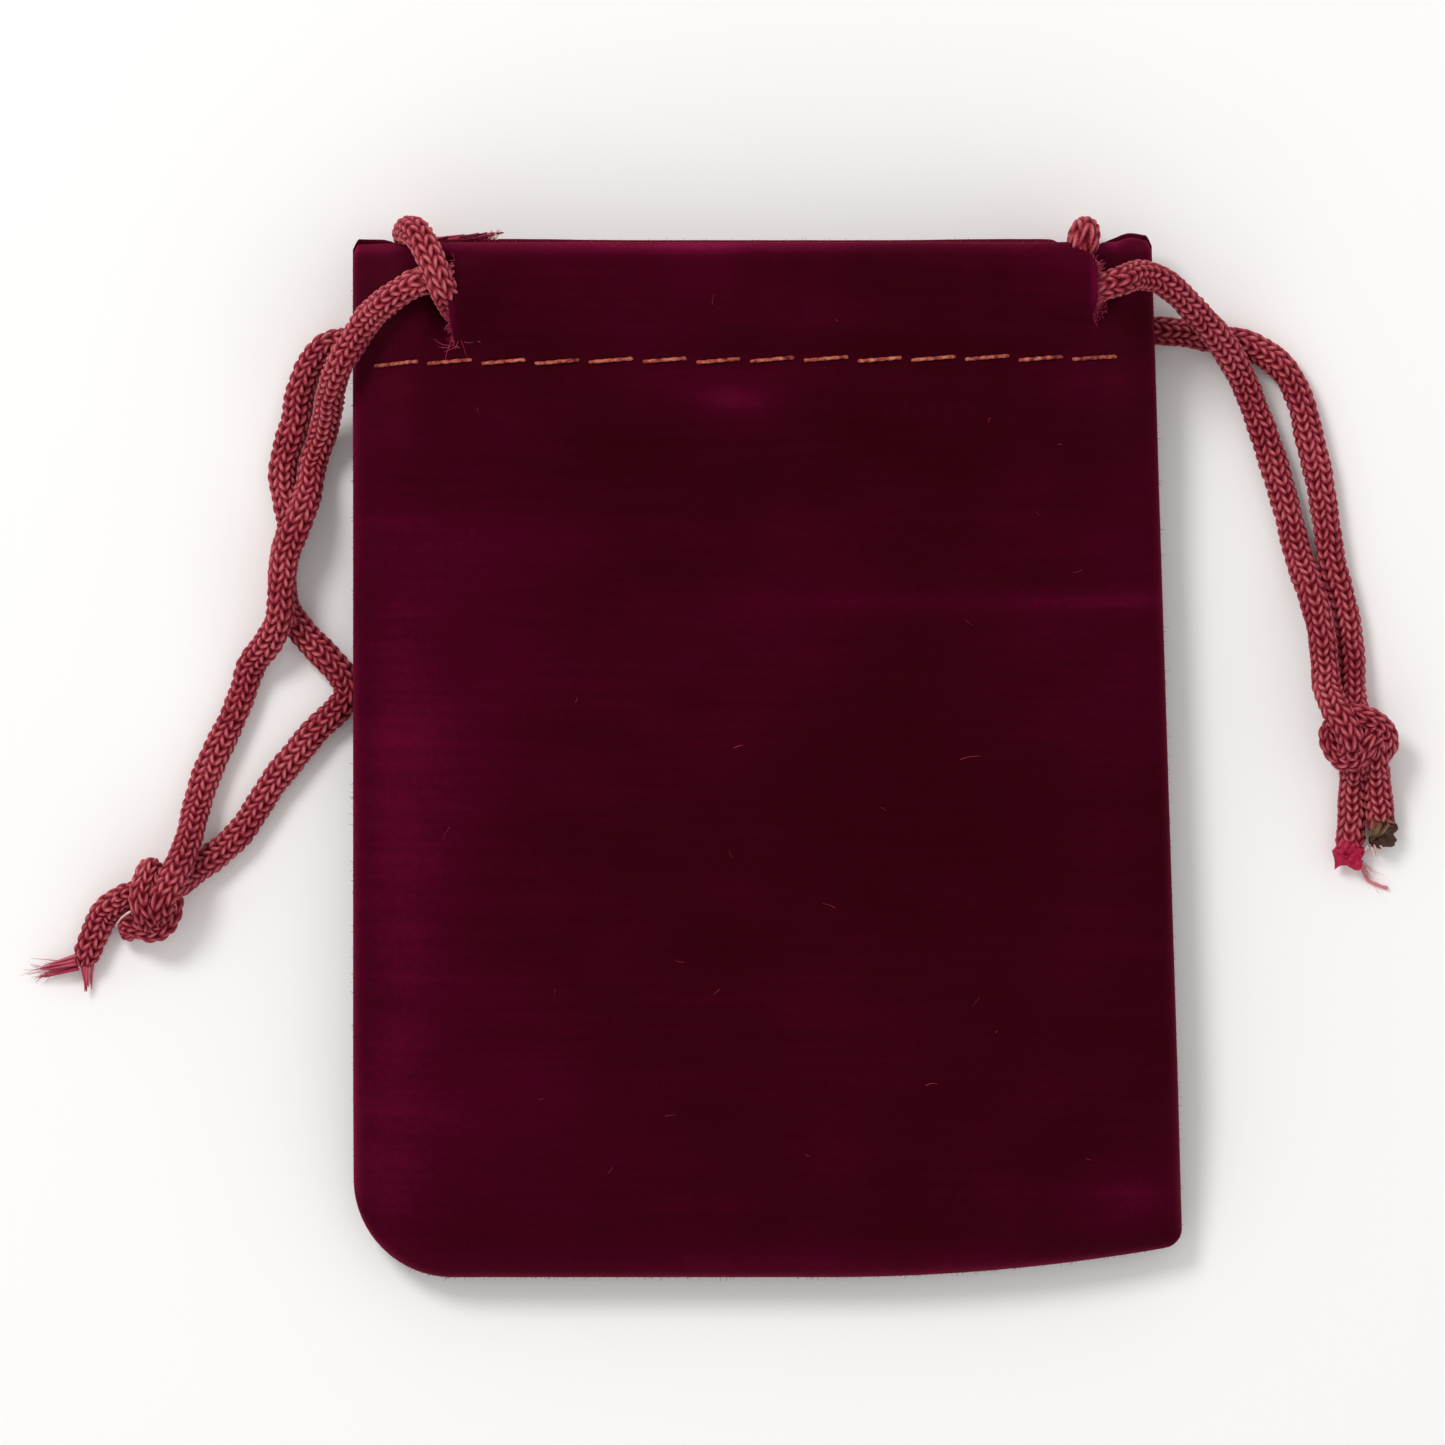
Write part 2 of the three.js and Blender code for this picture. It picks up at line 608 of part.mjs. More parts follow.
const rightCorner = new THREE.Group();
rightCorner.position.copy(RIGHT_CORNER);
rightCorner.add(
  cordPiece("left_cord_loop", vectors(LEFT_CORD_LOOP)),
  cordPiece("right_cord_front_strand", vectors(RIGHT_CORD_FRONT_STRAND), 1.6 * CORD),
  cordPiece("right_cord_back_strand", vectors(RIGHT_CORD_BACK_STRAND), 1.6 * CORD),
  knot("right_knot", RIGHT_KNOT, [
    [1.3, 0.2, 0.9, 0.2],
    [1.2, 2.0, -0.8, 0.3],
  ]),
  cordPiece("right_red_tail", vectors(RIGHT_RED_TAIL)),
  cordPiece("right_burnt_tail", vectors(RIGHT_BURNT_TAIL)),
);

const giftPouch = new THREE.Group();
giftPouch.add(pouch, leftCorner, rightCorner);

export default giftPouch;
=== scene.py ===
"""A velvet drawstring gift pouch lying flat. Metres, +Z up, +Y towards the mouth."""

import math

import bpy
import numpy as np
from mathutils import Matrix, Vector, noise


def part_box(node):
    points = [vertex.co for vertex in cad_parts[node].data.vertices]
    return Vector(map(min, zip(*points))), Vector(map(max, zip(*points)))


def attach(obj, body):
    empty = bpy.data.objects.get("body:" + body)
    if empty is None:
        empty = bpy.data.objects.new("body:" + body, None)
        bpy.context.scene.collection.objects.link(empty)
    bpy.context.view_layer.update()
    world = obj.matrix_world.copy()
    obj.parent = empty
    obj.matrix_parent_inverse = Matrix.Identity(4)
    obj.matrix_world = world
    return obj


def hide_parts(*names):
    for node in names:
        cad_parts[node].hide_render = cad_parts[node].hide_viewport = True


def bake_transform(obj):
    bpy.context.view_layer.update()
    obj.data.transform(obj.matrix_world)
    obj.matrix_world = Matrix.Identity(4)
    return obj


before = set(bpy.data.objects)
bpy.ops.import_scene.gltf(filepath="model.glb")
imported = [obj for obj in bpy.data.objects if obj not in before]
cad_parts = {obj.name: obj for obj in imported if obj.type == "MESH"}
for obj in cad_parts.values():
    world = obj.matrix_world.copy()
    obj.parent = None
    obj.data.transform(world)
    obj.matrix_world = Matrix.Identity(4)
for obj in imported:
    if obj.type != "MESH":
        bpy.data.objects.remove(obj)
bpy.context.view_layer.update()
MM = 0.001

# ---- Table and light.
# The pouch lies on a pale matt table, seen from straight above through a long lens.
# One broad soft lamp stands up and to the left, and a white room fills the shadows.

CAMERA_HEIGHT = 1.2
VIEW_CENTRE = (-0.00405, 0.0031)
VIEW_WIDTH = 0.1244  # how much of the table the camera takes in
MIDDLE_HEIGHT = 0.006  # height of the pouch's middle, where that width is measured
SENSOR = 36.0
FAR_ENOUGH = 10
TABLE_HALF = 3000
TABLE_DROP = 0.00002  # keeps the table's top clear of the cloth that lies on it
ROOM_GLOW = 0.72
LAMP_WIDTH = 0.30
LAMP_POWER = 3.6
LAMP_PLACE = (-0.38, 0.46, 0.72)


def to_linear(hex_colour):
    """An sRGB hex value as a linear colour."""
    parts = [int(hex_colour[i : i + 2], 16) / 255 for i in (1, 3, 5)]
    return [c / 12.92 if c <= 0.04045 else ((c + 0.055) / 1.055) ** 2.4 for c in parts] + [1.0]


def add_node(tree, kind, settings=None, values=None, links=None, stops=None):
    """One node: its settings, its constant inputs, what its linked inputs come from, and a ramp's stops."""
    node = tree.nodes.new(kind)
    for key, value in (settings or {}).items():
        setattr(node, key, value)
    for key, value in (values or {}).items():
        node.inputs[key].default_value = value
    for key, source in (links or {}).items():
        tree.links.new(source, node.inputs[key])
    if stops:
        first, *between, last = stops
        for element, (position, colour) in zip(node.color_ramp.elements, (first, last)):
            element.position, element.color = position, to_linear(colour)
        for position, colour in between:
            node.color_ramp.elements.new(position).color = to_linear(colour)
    return node


def new_material(name):
    """A material with an empty node tree, and that tree."""
    material = bpy.data.materials.new(name)
    material.use_nodes = True
    material.node_tree.nodes.clear()
    return material, material.node_tree


def mesh_piece(name, points, faces, material):
    """A smooth mesh from points in millimetres."""
    mesh = bpy.data.meshes.new(name)
    mesh.from_pydata((np.asarray(points, float) * MM).tolist(), [], [list(f) for f in faces])
    mesh.materials.append(material)
    mesh.shade_smooth()
    piece = bpy.data.objects.new(name, mesh)
    bpy.context.scene.collection.objects.link(piece)
    return piece


camera_data = bpy.data.cameras.new("camera")
camera_data.sensor_width = SENSOR
camera_data.lens = SENSOR * (CAMERA_HEIGHT - MIDDLE_HEIGHT) / VIEW_WIDTH
camera_data.clip_end = FAR_ENOUGH
camera = bpy.data.objects.new("camera", camera_data)
camera.location = (*VIEW_CENTRE, CAMERA_HEIGHT)
bpy.context.scene.collection.objects.link(camera)
bpy.context.scene.camera = camera
bpy.context.scene.view_settings.view_transform = "Standard"

# Matt white card: an even, barely warm white with next to no gloss.
card, tree = new_material("matt_white_card")
card_face = add_node(tree, "ShaderNodeBsdfPrincipled",
                     values={"Base Color": to_linear("#fbfaf9"), "Roughness": 0.9, "Specular IOR Level": 0.2})
add_node(tree, "ShaderNodeOutputMaterial", links={"Surface": card_face.outputs[0]})
table = mesh_piece("table", [(-TABLE_HALF, -TABLE_HALF, 0), (TABLE_HALF, -TABLE_HALF, 0),
                             (TABLE_HALF, TABLE_HALF, 0), (-TABLE_HALF, TABLE_HALF, 0)], [(0, 1, 2, 3)], card)
table.location.z = -TABLE_DROP

room = bpy.data.worlds.new("white_room")
room.use_nodes = True
room.node_tree.nodes["Background"].inputs["Color"].default_value = (1.0, 0.99, 0.985, 1)
room.node_tree.nodes["Background"].inputs["Strength"].default_value = ROOM_GLOW
bpy.context.scene.world = room
lamp_data = bpy.data.lights.new("soft_lamp", "AREA")
lamp_data.shape = "DISK"
lamp_data.size = LAMP_WIDTH
lamp_data.energy = LAMP_POWER
lamp_data.color = (1.0, 0.985, 0.97)
lamp = bpy.data.objects.new("soft_lamp", lamp_data)
lamp.location = LAMP_PLACE
lamp.rotation_euler = (Vector((0, 0, 0)) - lamp.location).to_track_quat("-Z", "Y").to_euler()
bpy.context.scene.collection.objects.link(lamp)

# ---- The two velvet panels.
# Each is one strip of burgundy polyester velvet, pile out: up from the bottom seam, folded over at the
# mouth, and back down inside as the channel's hem. The two are sewn together face to face and turned.

back_low, back_high = (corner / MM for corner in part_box("back_panel"))
LEFT = back_low.x
BOTTOM = back_low.y
BACK_TOP = back_high.y
FRONT_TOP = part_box("front_panel")[1].y / MM
POUCH_LENGTH = BACK_TOP - BOTTOM
BOTTOM_WIDTH = back_high.x - back_low.x
MOUTH_WIDTH = 68.8
RIGHT_TOP = LEFT + MOUTH_WIDTH
ROUND_CORNER = 8.5  # radius of the bottom's left corner
SHARP_CORNER = 1.5  # and of its right one
BOTTOM_RISE = 2.8  # the bottom edge climbs this much to the right
CLIMB_FROM = 0.57  # share of the width where it starts to climb
FABRIC = 0.8
CORD = 2.6
CHANNEL = 3.25  # clear height round the cord
CHANNEL_DEPTH = 10.1  # top fold to the row of stitches
CHANNEL_FULL = 6.2  # distance from the side seam where the channel has its full height
HEM_BELOW_STITCHES = 3.0
GROOVE = 0.9  # the stitches pull the cloth in by this
GROOVE_HALF = 0.6
GROOVE_SLOPE = 1.8
LAYER_GAP = 0.3
SIDE_GAP = 0.8  # between the panels at the side seams
MOUTH_GAP = 4.6  # and at the middle of the mouth
CORNER_LIFT = 3.0  # the mouth's corners lie on cord, this far off the table
CORNER_SPAN = (13, 24)  # distances from the side seam over which the back comes down to the table
OPEN_SPAN = (12, 23)  # and over which the mouth opens
SIDE_LIFT = 3.3  # height of the seams along the sides
BOTTOM_LIFT = 1.2
BODY_HEIGHT = 8.4
BODY_ROUND = 16  # the body rounds off over this distance from its seams
CLEARANCE = 0.3
STITCH_Y = FRONT_TOP - CHANNEL_DEPTH
HEM_END_Y = STITCH_Y - HEM_BELOW_STITCHES
CHANNEL_SHUT_Y = STITCH_Y + GROOVE_HALF
CHANNEL_OPEN_Y = CHANNEL_SHUT_Y + GROOVE_SLOPE
BODY_TOP_Y = STITCH_Y - 14
LEFT_SLIT = 9.0  # cut to the left side seam
RIGHT_SLIT = 5.6
SLIT_ENDS = {-1: (-9.2, -2.0), 1: (-7.2, 1.0)}  # from the top edge; the right cut runs through the fold
LIP = 2.6  # the central side of a cut rides up over the cords by this
DIP = 2.3  # and its outer side is pressed down by this
LIP_REACH = 4.6
DIP_REACH = 2.8
LIP_SHIFT = 0.55  # the lifted side also draws back from the cut
DENT_WIDTH = 1.3
PANEL_DENTS = {(-1, True): (LEFT + 5.6, 0.6), (-1, False): (LEFT + 4.7, 0.8),
               (1, True): (RIGHT_TOP - 6.0, 0.0), (1, False): (RIGHT_TOP - 5.85, 0.8)}  # middle and depth
NO_SLIT = -1000.0  # stands for the height of cloth inside the channel, where there is no cut
JUST_OFF_TABLE = 0.03


def mix(a, b, t):
    """The value a share t of the way from a to b."""
    return a + (b - a) * t


def ramp(x, low, high):
    """0 up to low, 1 from high, and straight between them."""
    return np.clip((x - low) / (high - low), 0, 1)


def ease(x, low, high):
    """The same, with soft ends."""
    t = ramp(x, low, high)
    return t * t * (3 - 2 * t)


def bulge(t):
    """A quarter circle from 0 to 1."""
    return np.sqrt(1 - (1 - np.clip(t, 0, 1)) ** 2)


def width_at(y):
    return mix(BOTTOM_WIDTH, MOUTH_WIDTH, (y - BOTTOM) / POUCH_LENGTH)


def bottom_at(x):
    """The bottom edge: a round left corner, a tight right one, and a slight climb to the right."""
    from_left = ROUND_CORNER - np.clip(x - LEFT, 0, ROUND_CORNER)
    from_right = SHARP_CORNER - np.clip(LEFT + BOTTOM_WIDTH - x, 0, SHARP_CORNER)
    round_part = ROUND_CORNER - np.sqrt(ROUND_CORNER**2 - from_left**2)
    sharp_part = SHARP_CORNER - np.sqrt(np.maximum(SHARP_CORNER**2 - from_right**2, 0))
    climb = np.maximum((x - LEFT) / BOTTOM_WIDTH - CLIMB_FROM, 0) / (1 - CLIMB_FROM)
    return BOTTOM + round_part + sharp_part + BOTTOM_RISE * climb**2


def from_side(x, y):
    """Distance to the nearer side seam."""
    return np.maximum(np.minimum(x - LEFT, LEFT + width_at(y) - x), 0)


def channel_opening(x, y):
    """Height of the channel, which closes towards the side seams."""
    return mix(LAYER_GAP, CHANNEL, ease(from_side(x, y), 0.5, CHANNEL_FULL))


def channel_at(x, y):
    """The same, closing towards the stitches too."""
    return mix(LAYER_GAP, channel_opening(x, y), ramp(y, CHANNEL_SHUT_Y, CHANNEL_OPEN_Y))


def mouth_back(x, y):
    """Height of the back panel's face at the mouth."""
    return CORNER_LIFT * (1 - ease(from_side(x, y), *CORNER_SPAN))


def mouth_front(x, y):
    """Height of the front panel's face at the mouth."""
    gap = mix(SIDE_GAP, MOUTH_GAP, ease(from_side(x, y), *OPEN_SPAN))
    return mouth_back(x, y) + 4 * FABRIC + 2 * channel_opening(x, y) + gap


def body_lift(y):
    return mix(BOTTOM_LIFT, SIDE_LIFT, ease(y, BOTTOM + 3, BOTTOM + 20))


def body_back(x, y):
    """Height of the back panel's face below the stitches."""
    return body_lift(y) * (1 - ease(from_side(x, y), 0, BODY_ROUND) * ease(y - bottom_at(x), 0, 14))


def body_front(x, y):
    """Height of the front panel's face below the stitches."""
    seam = body_lift(y) + 2 * FABRIC + SIDE_GAP
    crown = bulge(from_side(x, y) / BODY_ROUND) * bulge((y - bottom_at(x)) / BODY_ROUND)
    return seam + (BODY_HEIGHT - seam) * crown


def groove_at(x, y):
    """How far the stitches pull the cloth in."""
    from_stitches = ramp(np.abs(y - STITCH_Y), GROOVE_HALF, GROOVE_HALF + GROOVE_SLOPE)
    return GROOVE * ease(from_side(x, y), 1, 6) * (1 - from_stitches)


def back_face(x, y):
    return mix(body_back(x, y), mouth_back(x, y), ease(y, BODY_TOP_Y, STITCH_Y)) + groove_at(x, y)


def front_face(x, y):
    return mix(body_front(x, y), mouth_front(x, y), ease(y, BODY_TOP_Y, STITCH_Y)) - groove_at(x, y)


def seam_roll(x, y):
    """How far a panel's face drops to meet the other one's in the side and bottom seams."""
    edge_x = np.where(x < 0, LEFT, LEFT + width_at(y))
    half_gap = (front_face(edge_x, y) - back_face(edge_x, y)) / 2
    to_seam = np.minimum(from_side(x, y), np.maximum(y - bottom_at(x), 0) * 1.1)
    return half_gap * (1 - bulge(to_seam / half_gap))


def waves(x, y, length, seed):
    """Soft uneven hills about that long, from -1 to 1."""
    flat = [noise.noise(Vector((a / length, b / length, seed))) for a, b in zip(np.ravel(x), np.ravel(y))]
    return np.reshape(flat, np.shape(x))


def handling_waves(x, y):
    """The slight waves of cloth that has been folded and handled, less at the seams."""
    inside = ease(from_side(x, y), 0.5, 8) * ease(y - bottom_at(x), 0.5, 8)
    folded = 0.16 * np.exp(-(((y - 13.6 - 0.01 * x) / 1.1) ** 2)) * ease(x, -8, 24)
    ripple = 0.10 * np.sin(x * 1.15 + 1.3 * np.sin(x * 0.31)) * ease(y, STITCH_Y - 9, STITCH_Y - 2)
    return inside * (0.42 * waves(x, y, 17.0, 2.0) + 0.13 * waves(x, y, 5.5, 5.0) - folded + ripple)


def cord_dent(x, y, side, is_front):
    """The loops of cord press these nicks into the folded top edge."""
    middle, depth = PANEL_DENTS[side, is_front]
    nick = depth * np.exp(-(((x - middle) / DENT_WIDTH) ** 2))
    if side < 0:
        return nick * ease(y, BACK_TOP - 5.5, BACK_TOP - 1.5)
    raised_corner = 0.55 * np.exp(-(((x - RIGHT_TOP + 1.4) / 2.0) ** 2))
    return nick - raised_corner


def slit_line(side, y):
    """Where a cut is across the pouch."""
    return LEFT + LEFT_SLIT if side < 0 else LEFT + width_at(y) - RIGHT_SLIT


def slit_open(y, side):
    """How far open a cut is at this height, from 0 to 1."""
    low, high = (BACK_TOP + end for end in SLIT_ENDS[side])
    if side < 0:
        return np.sin(math.pi * ramp(y, low, high)) ** 0.8
    return np.sin(math.pi / 2 * ramp(y, low, low + 2.2)) * (1 - 0.45 * ease(y, high - 4.2, high - 2.0))


def panel_columns(side):
    """Shares of the half width from the side seam, 0, to the pouch's middle, 1, with one on the slit."""
    half = -LEFT if side < 0 else RIGHT_TOP
    slit = (LEFT_SLIT if side < 0 else RIGHT_SLIT) / half
    roll = 2.4 / half * (1 - np.cos(np.linspace(0, math.pi / 2, 9)))
    outer = np.linspace(roll[-1], slit, 10 if side < 0 else 8)[1:]
    inner = slit + (1 - slit) * np.linspace(0, 1, 58 if side < 0 else 62)[1:] ** 1.08
    return np.concatenate([roll, outer, inner]), len(roll) + len(outer) - 1


def velvet_strip(side, is_front):
    """The outer surface of half a panel as a grid of points, with the rows where the slit is open."""
    columns, slit_column = panel_columns(side)
    top = FRONT_TOP if is_front else BACK_TOP
    out = 1 if is_front else -1
    face = front_face if is_front else back_face
    edge_bottom = -LEFT if side < 0 else LEFT + BOTTOM_WIDTH

    def x_at(y, share):
        half = -LEFT if side < 0 else LEFT + width_at(y)
        return side * half * (1 - share)

    x_top = x_at(BACK_TOP, columns)
    channel_top = channel_opening(x_top, BACK_TOP)
    radius = FABRIC + channel_top / 2
    dent = cord_dent(x_top, np.full_like(x_top, BACK_TOP), side, is_front)
    fold_y = top - radius - dent
    x_bottom = side * edge_bottom * (1 - columns)
    bottom = bottom_at(x_bottom)
    groove_low = STITCH_Y - GROOVE_HALF - GROOVE_SLOPE
    start = np.linspace(0, 1, 8) ** 2 * 0.028
    shares = np.concatenate([start, np.linspace(start[-1], 1, 118)[1:]])
    rows = [mix(bottom, groove_low, s) for s in shares]
    rows += [np.full_like(columns, y) for y in np.linspace(groove_low, CHANNEL_SHUT_Y, 9)[1:]]
    rows += [np.full_like(columns, y) for y in np.linspace(CHANNEL_SHUT_Y, CHANNEL_OPEN_Y, 5)[1:]]
    rows += [mix(CHANNEL_OPEN_Y, fold_y, s) for s in np.linspace(0, 1, 17)[1:]]
    grid, where = [], []
    for y in rows:
        x = x_at(y, columns)
        z = np.maximum(face(x, y) + out * (handling_waves(x, y) - seam_roll(x, y)), JUST_OFF_TABLE)
        grid.append(np.stack([x, y, z], 1))
        where.append(y)
    x_fold = x_at(fold_y, columns)
    face_fold = face(x_fold, fold_y) + out * handling_waves(x_fold, fold_y)
    drop = seam_roll(x_fold, fold_y)
    inset = 1.2 * (1 - ease(columns * -LEFT, 0, 5))
    for turn in np.linspace(0, 1, 13)[1:]:
        angle = math.pi * turn
        y = fold_y + radius * math.sin(angle)
        z = face_fold - out * (radius * (1 - math.cos(angle)) + drop * (1 - turn))
        x = x_fold - side * inset * turn
        grid.append(np.stack([x, y, z], 1))
        where.append(y if turn < 0.62 else np.full_like(y, NO_SLIT))
    down = [mix(fold_y, CHANNEL_OPEN_Y, s) for s in np.linspace(0, 1, 8)[1:]]
    down += [np.full_like(columns, y) for y in np.linspace(CHANNEL_OPEN_Y, HEM_END_Y, 9)[1:]]
    for y in down:
        x = x_at(y, columns) - side * inset
        z = face(x, y) + out * handling_waves(x, y) - out * (2 * FABRIC + channel_at(x, y))
        grid.append(np.stack([x, y, z], 1))
        where.append(np.full_like(y, NO_SLIT))
    return np.array(grid), np.array(where), slit_column, out


def open_slit(points, where, side, out, central):
    """Lifts the central side of the cut over the cords, presses the outer side down, and parts the fold."""
    x, y = points[..., 0], where
    line = slit_line(side, np.maximum(y, BOTTOM))
    inward = (line - x) * side  # from the cut towards the pouch's middle
    opening = np.where(y > NO_SLIT, slit_open(y, side), 0)
    lip = opening * (1 - ease(np.abs(inward), 0, LIP_REACH))
    dip = opening * (1 - ease(np.abs(inward), 0, DIP_REACH))
    if side > 0:
        dip = dip * np.exp(-(((y - BACK_TOP + 5.3) / 2.3) ** 2))
    moved = points.copy()
    over = central | (inward > 0.01)
    moved[..., 2] += out * np.where(over, LIP * lip, -DIP * dip)
    moved[..., 0] += side * np.where(over, LIP_SHIFT * lip, 0)
    if side > 0:
        parted = ramp(y, BACK_TOP - 1.9, BACK_TOP - 0.5) * (y > NO_SLIT) * np.exp(-((inward / 2.4) ** 2))
        moved[..., 0] += np.where(over, -1.8, 1.1) * parted
    return moved


PILE_AND_SHEEN_PATCHES = (  # how much the patch is painted lighter (darker below zero), the middle of the patch, and its half width and height
    (0.50, -32.0, -6.0, 4.0, 26.0), (0.25, -28.0, -8.0, 6.0, 24.0),  # a band of painted sheen down the left side, which faces the lamp
    (0.55, -3.0, 30.6, 3.0, 1.4), (0.28, -4.0, 31.0, 7.0, 3.0),  # the thumbed spot under the stitches
    (0.42, 26.0, 13.6, 14.0, 1.0), (0.18, 8.0, 13.3, 16.0, 0.8),  # painted sheen along the crease
    (0.30, -21.0, 19.0, 8.0, 2.2), (0.30, -2.5, -11.5, 3.2, 2.2),  # two faint rubbed places
    (0.45, 31.0, -37.5, 5.0, 2.6), (0.35, 0.0, -43.6, 60.0, 1.2),  # painted sheen on the right corner and along the bottom edge
    (0.25, -33.5, -36.0, 2.5, 9.0), (-0.25, 12.0, -8.0, 16.0, 26.0),  # painted sheen on the left corner, and painted shade over the flat middle
)


def pile_lie_and_painted_sheen(x, y, is_front):
    """How the pile lies, from -1, dark, to 1, bright, with painted sheen on the fold, seams, corners, crease
    and left side.
    """

    def patch(middle_x, middle_y, wide, high):
        return np.exp(-(((x - middle_x) / wide) ** 2) - (((y - middle_y) / high) ** 2))

    lie = 0.30 * waves(x, y, 21.0, 11.0) + 0.16 * waves(x, y * 1.8, 8.0, 12.0)
    if not is_front:
        return lie - 0.1
    for lean, *place in PILE_AND_SHEEN_PATCHES:
        lie += lean * patch(*place)
    # Painted sheen: a lighter band along the top fold and a lighter rim along the side seams.
    painted_fold_sheen = np.exp(-(((FRONT_TOP - 0.35 - y) / 0.6) ** 2)) * (1 - 0.6 * ease(x, 0, 20))
    painted_edge_sheen = np.exp(-((from_side(x, y) / 0.6) ** 2)) * ease(-x, -60, 20)
    foot_marks = np.sin(x * 4.2) ** 4 * patch(11.0, 29.9, 6.0, 0.9)
    left_cut, right_cut = LEFT + LEFT_SLIT, RIGHT_TOP - RIGHT_SLIT
    worn = patch(left_cut - 0.4, 37.6, 0.4, 3.0) + patch(right_cut + 0.5, 40.2, 0.4, 3.2)
    worn += 0.8 * patch(right_cut + 1.2, 38.6, 0.9, 0.9) * (waves(x, y, 0.5, 3.0) > 0.05)
    worn += patch(RIGHT_TOP - 3.4, BACK_TOP - 0.6, 0.7, 0.5)
    return lie + 0.85 * painted_fold_sheen + 0.55 * painted_edge_sheen + 0.28 * foot_marks + 0.8 * worn


# Warp-knitted polyester velvet, cut pile about a millimetre deep. Seen end-on the pile swallows the light, so
# the flat of the pouch is almost black-red, and slopes glow crimson to magenta through the sheen. The base
# colour adds brushed patches, painted sheen on folds, edges and the crease, and painted shade over the
# middle.
WEFT = 0.42  # pitch of the cross rows, drawn twice as coarse as they are so that they show
TUFT = 0.5  # a clump of pile
CLOUD = 9  # a stroke of the hand
velvet, tree = new_material("polyester_velvet_pile")
place = add_node(tree, "ShaderNodeTexCoord").outputs["Object"]
pile_and_sheen = add_node(tree, "ShaderNodeAttribute", {"attribute_name": "pile"}).outputs["Fac"]
rows_map = add_node(tree, "ShaderNodeMapping", values={"Scale": (0.055, 1.0, 0.3)}, links={"Vector": place})
rows_noise = add_node(tree, "ShaderNodeTexNoise", links={"Vector": rows_map.outputs[0]},
                      values={"Scale": 1 / (2 * WEFT * MM), "Detail": 3.0, "Roughness": 0.6})
tuft_noise = add_node(tree, "ShaderNodeTexNoise", links={"Vector": place},
                      values={"Scale": 1 / (TUFT * MM), "Detail": 3.0, "Roughness": 0.7})
cloud_noise = add_node(tree, "ShaderNodeTexNoise", links={"Vector": place},
                       values={"Scale": 1 / (CLOUD * MM), "Detail": 4.0, "Roughness": 0.6})
HALF_AROUND_ZERO = {1: 0.5, 2: -0.25}  # multiplies a noise by a half and centres it on zero
lie = pile_and_sheen
for source in (rows_noise, tuft_noise, cloud_noise):
    part = add_node(tree, "ShaderNodeMath", {"operation": "MULTIPLY_ADD"}, HALF_AROUND_ZERO,
                    {0: source.outputs["Fac"]})
    total = add_node(tree, "ShaderNodeMath", {"operation": "ADD"}, links={0: lie, 1: part.outputs[0]})
    lie = total.outputs[0]
lie_share = add_node(tree, "ShaderNodeMapRange", links={"Value": lie},
                     values={"From Min": -0.9, "From Max": 1.3})
# The pile attribute paints sheen and shade into the base colour: lighter on the fold, seams, corners, crease
# and left side, darker over the middle.
pile_and_sheen_colour = add_node(tree, "ShaderNodeValToRGB", links={"Fac": lie_share.outputs[0]}, stops=(
    (0.0, "#230006"), (0.35, "#33000d"), (0.55, "#3f0018"), (0.78, "#560426"), (1.0, "#7a1040")))
tuft_bump = add_node(tree, "ShaderNodeBump", values={"Strength": 0.35, "Distance": 0.12 * MM},
                     links={"Height": tuft_noise.outputs["Fac"]})
row_bump = add_node(tree, "ShaderNodeBump", values={"Strength": 0.3, "Distance": 0.15 * MM},
                    links={"Height": rows_noise.outputs["Fac"], "Normal": tuft_bump.outputs[0]})
velvet_face = add_node(tree, "ShaderNodeBsdfPrincipled",
                       values={"Roughness": 0.95, "Specular IOR Level": 0.04, "Sheen Weight": 0.4,
                               "Sheen Roughness": 0.42, "Sheen Tint": to_linear("#c8184c")},
                       links={"Base Color": pile_and_sheen_colour.outputs[0], "Normal": row_bump.outputs[0]})
add_node(tree, "ShaderNodeOutputMaterial", links={"Surface": velvet_face.outputs[0]})


SIDE_NAME = {-1: "left", 1: "right"}
SHARP_EDGE = 50  # degrees


def gather(piece):
    """The piece with its placement baked into its points."""
    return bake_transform(piece)


def solidified(piece, thickness):
    """The piece with its cloth's thickness behind its outer surface."""
    cloth = piece.modifiers.new("cloth", "SOLIDIFY")
    cloth.thickness = thickness * MM
    cloth.offset = -1
    cloth.use_even_offset = False
    thick = bpy.data.meshes.new_from_object(piece.evaluated_get(bpy.context.evaluated_depsgraph_get()))
    piece.modifiers.clear()
    piece.data = thick
    thick.set_sharp_from_angle(angle=math.radians(SHARP_EDGE))
    return piece


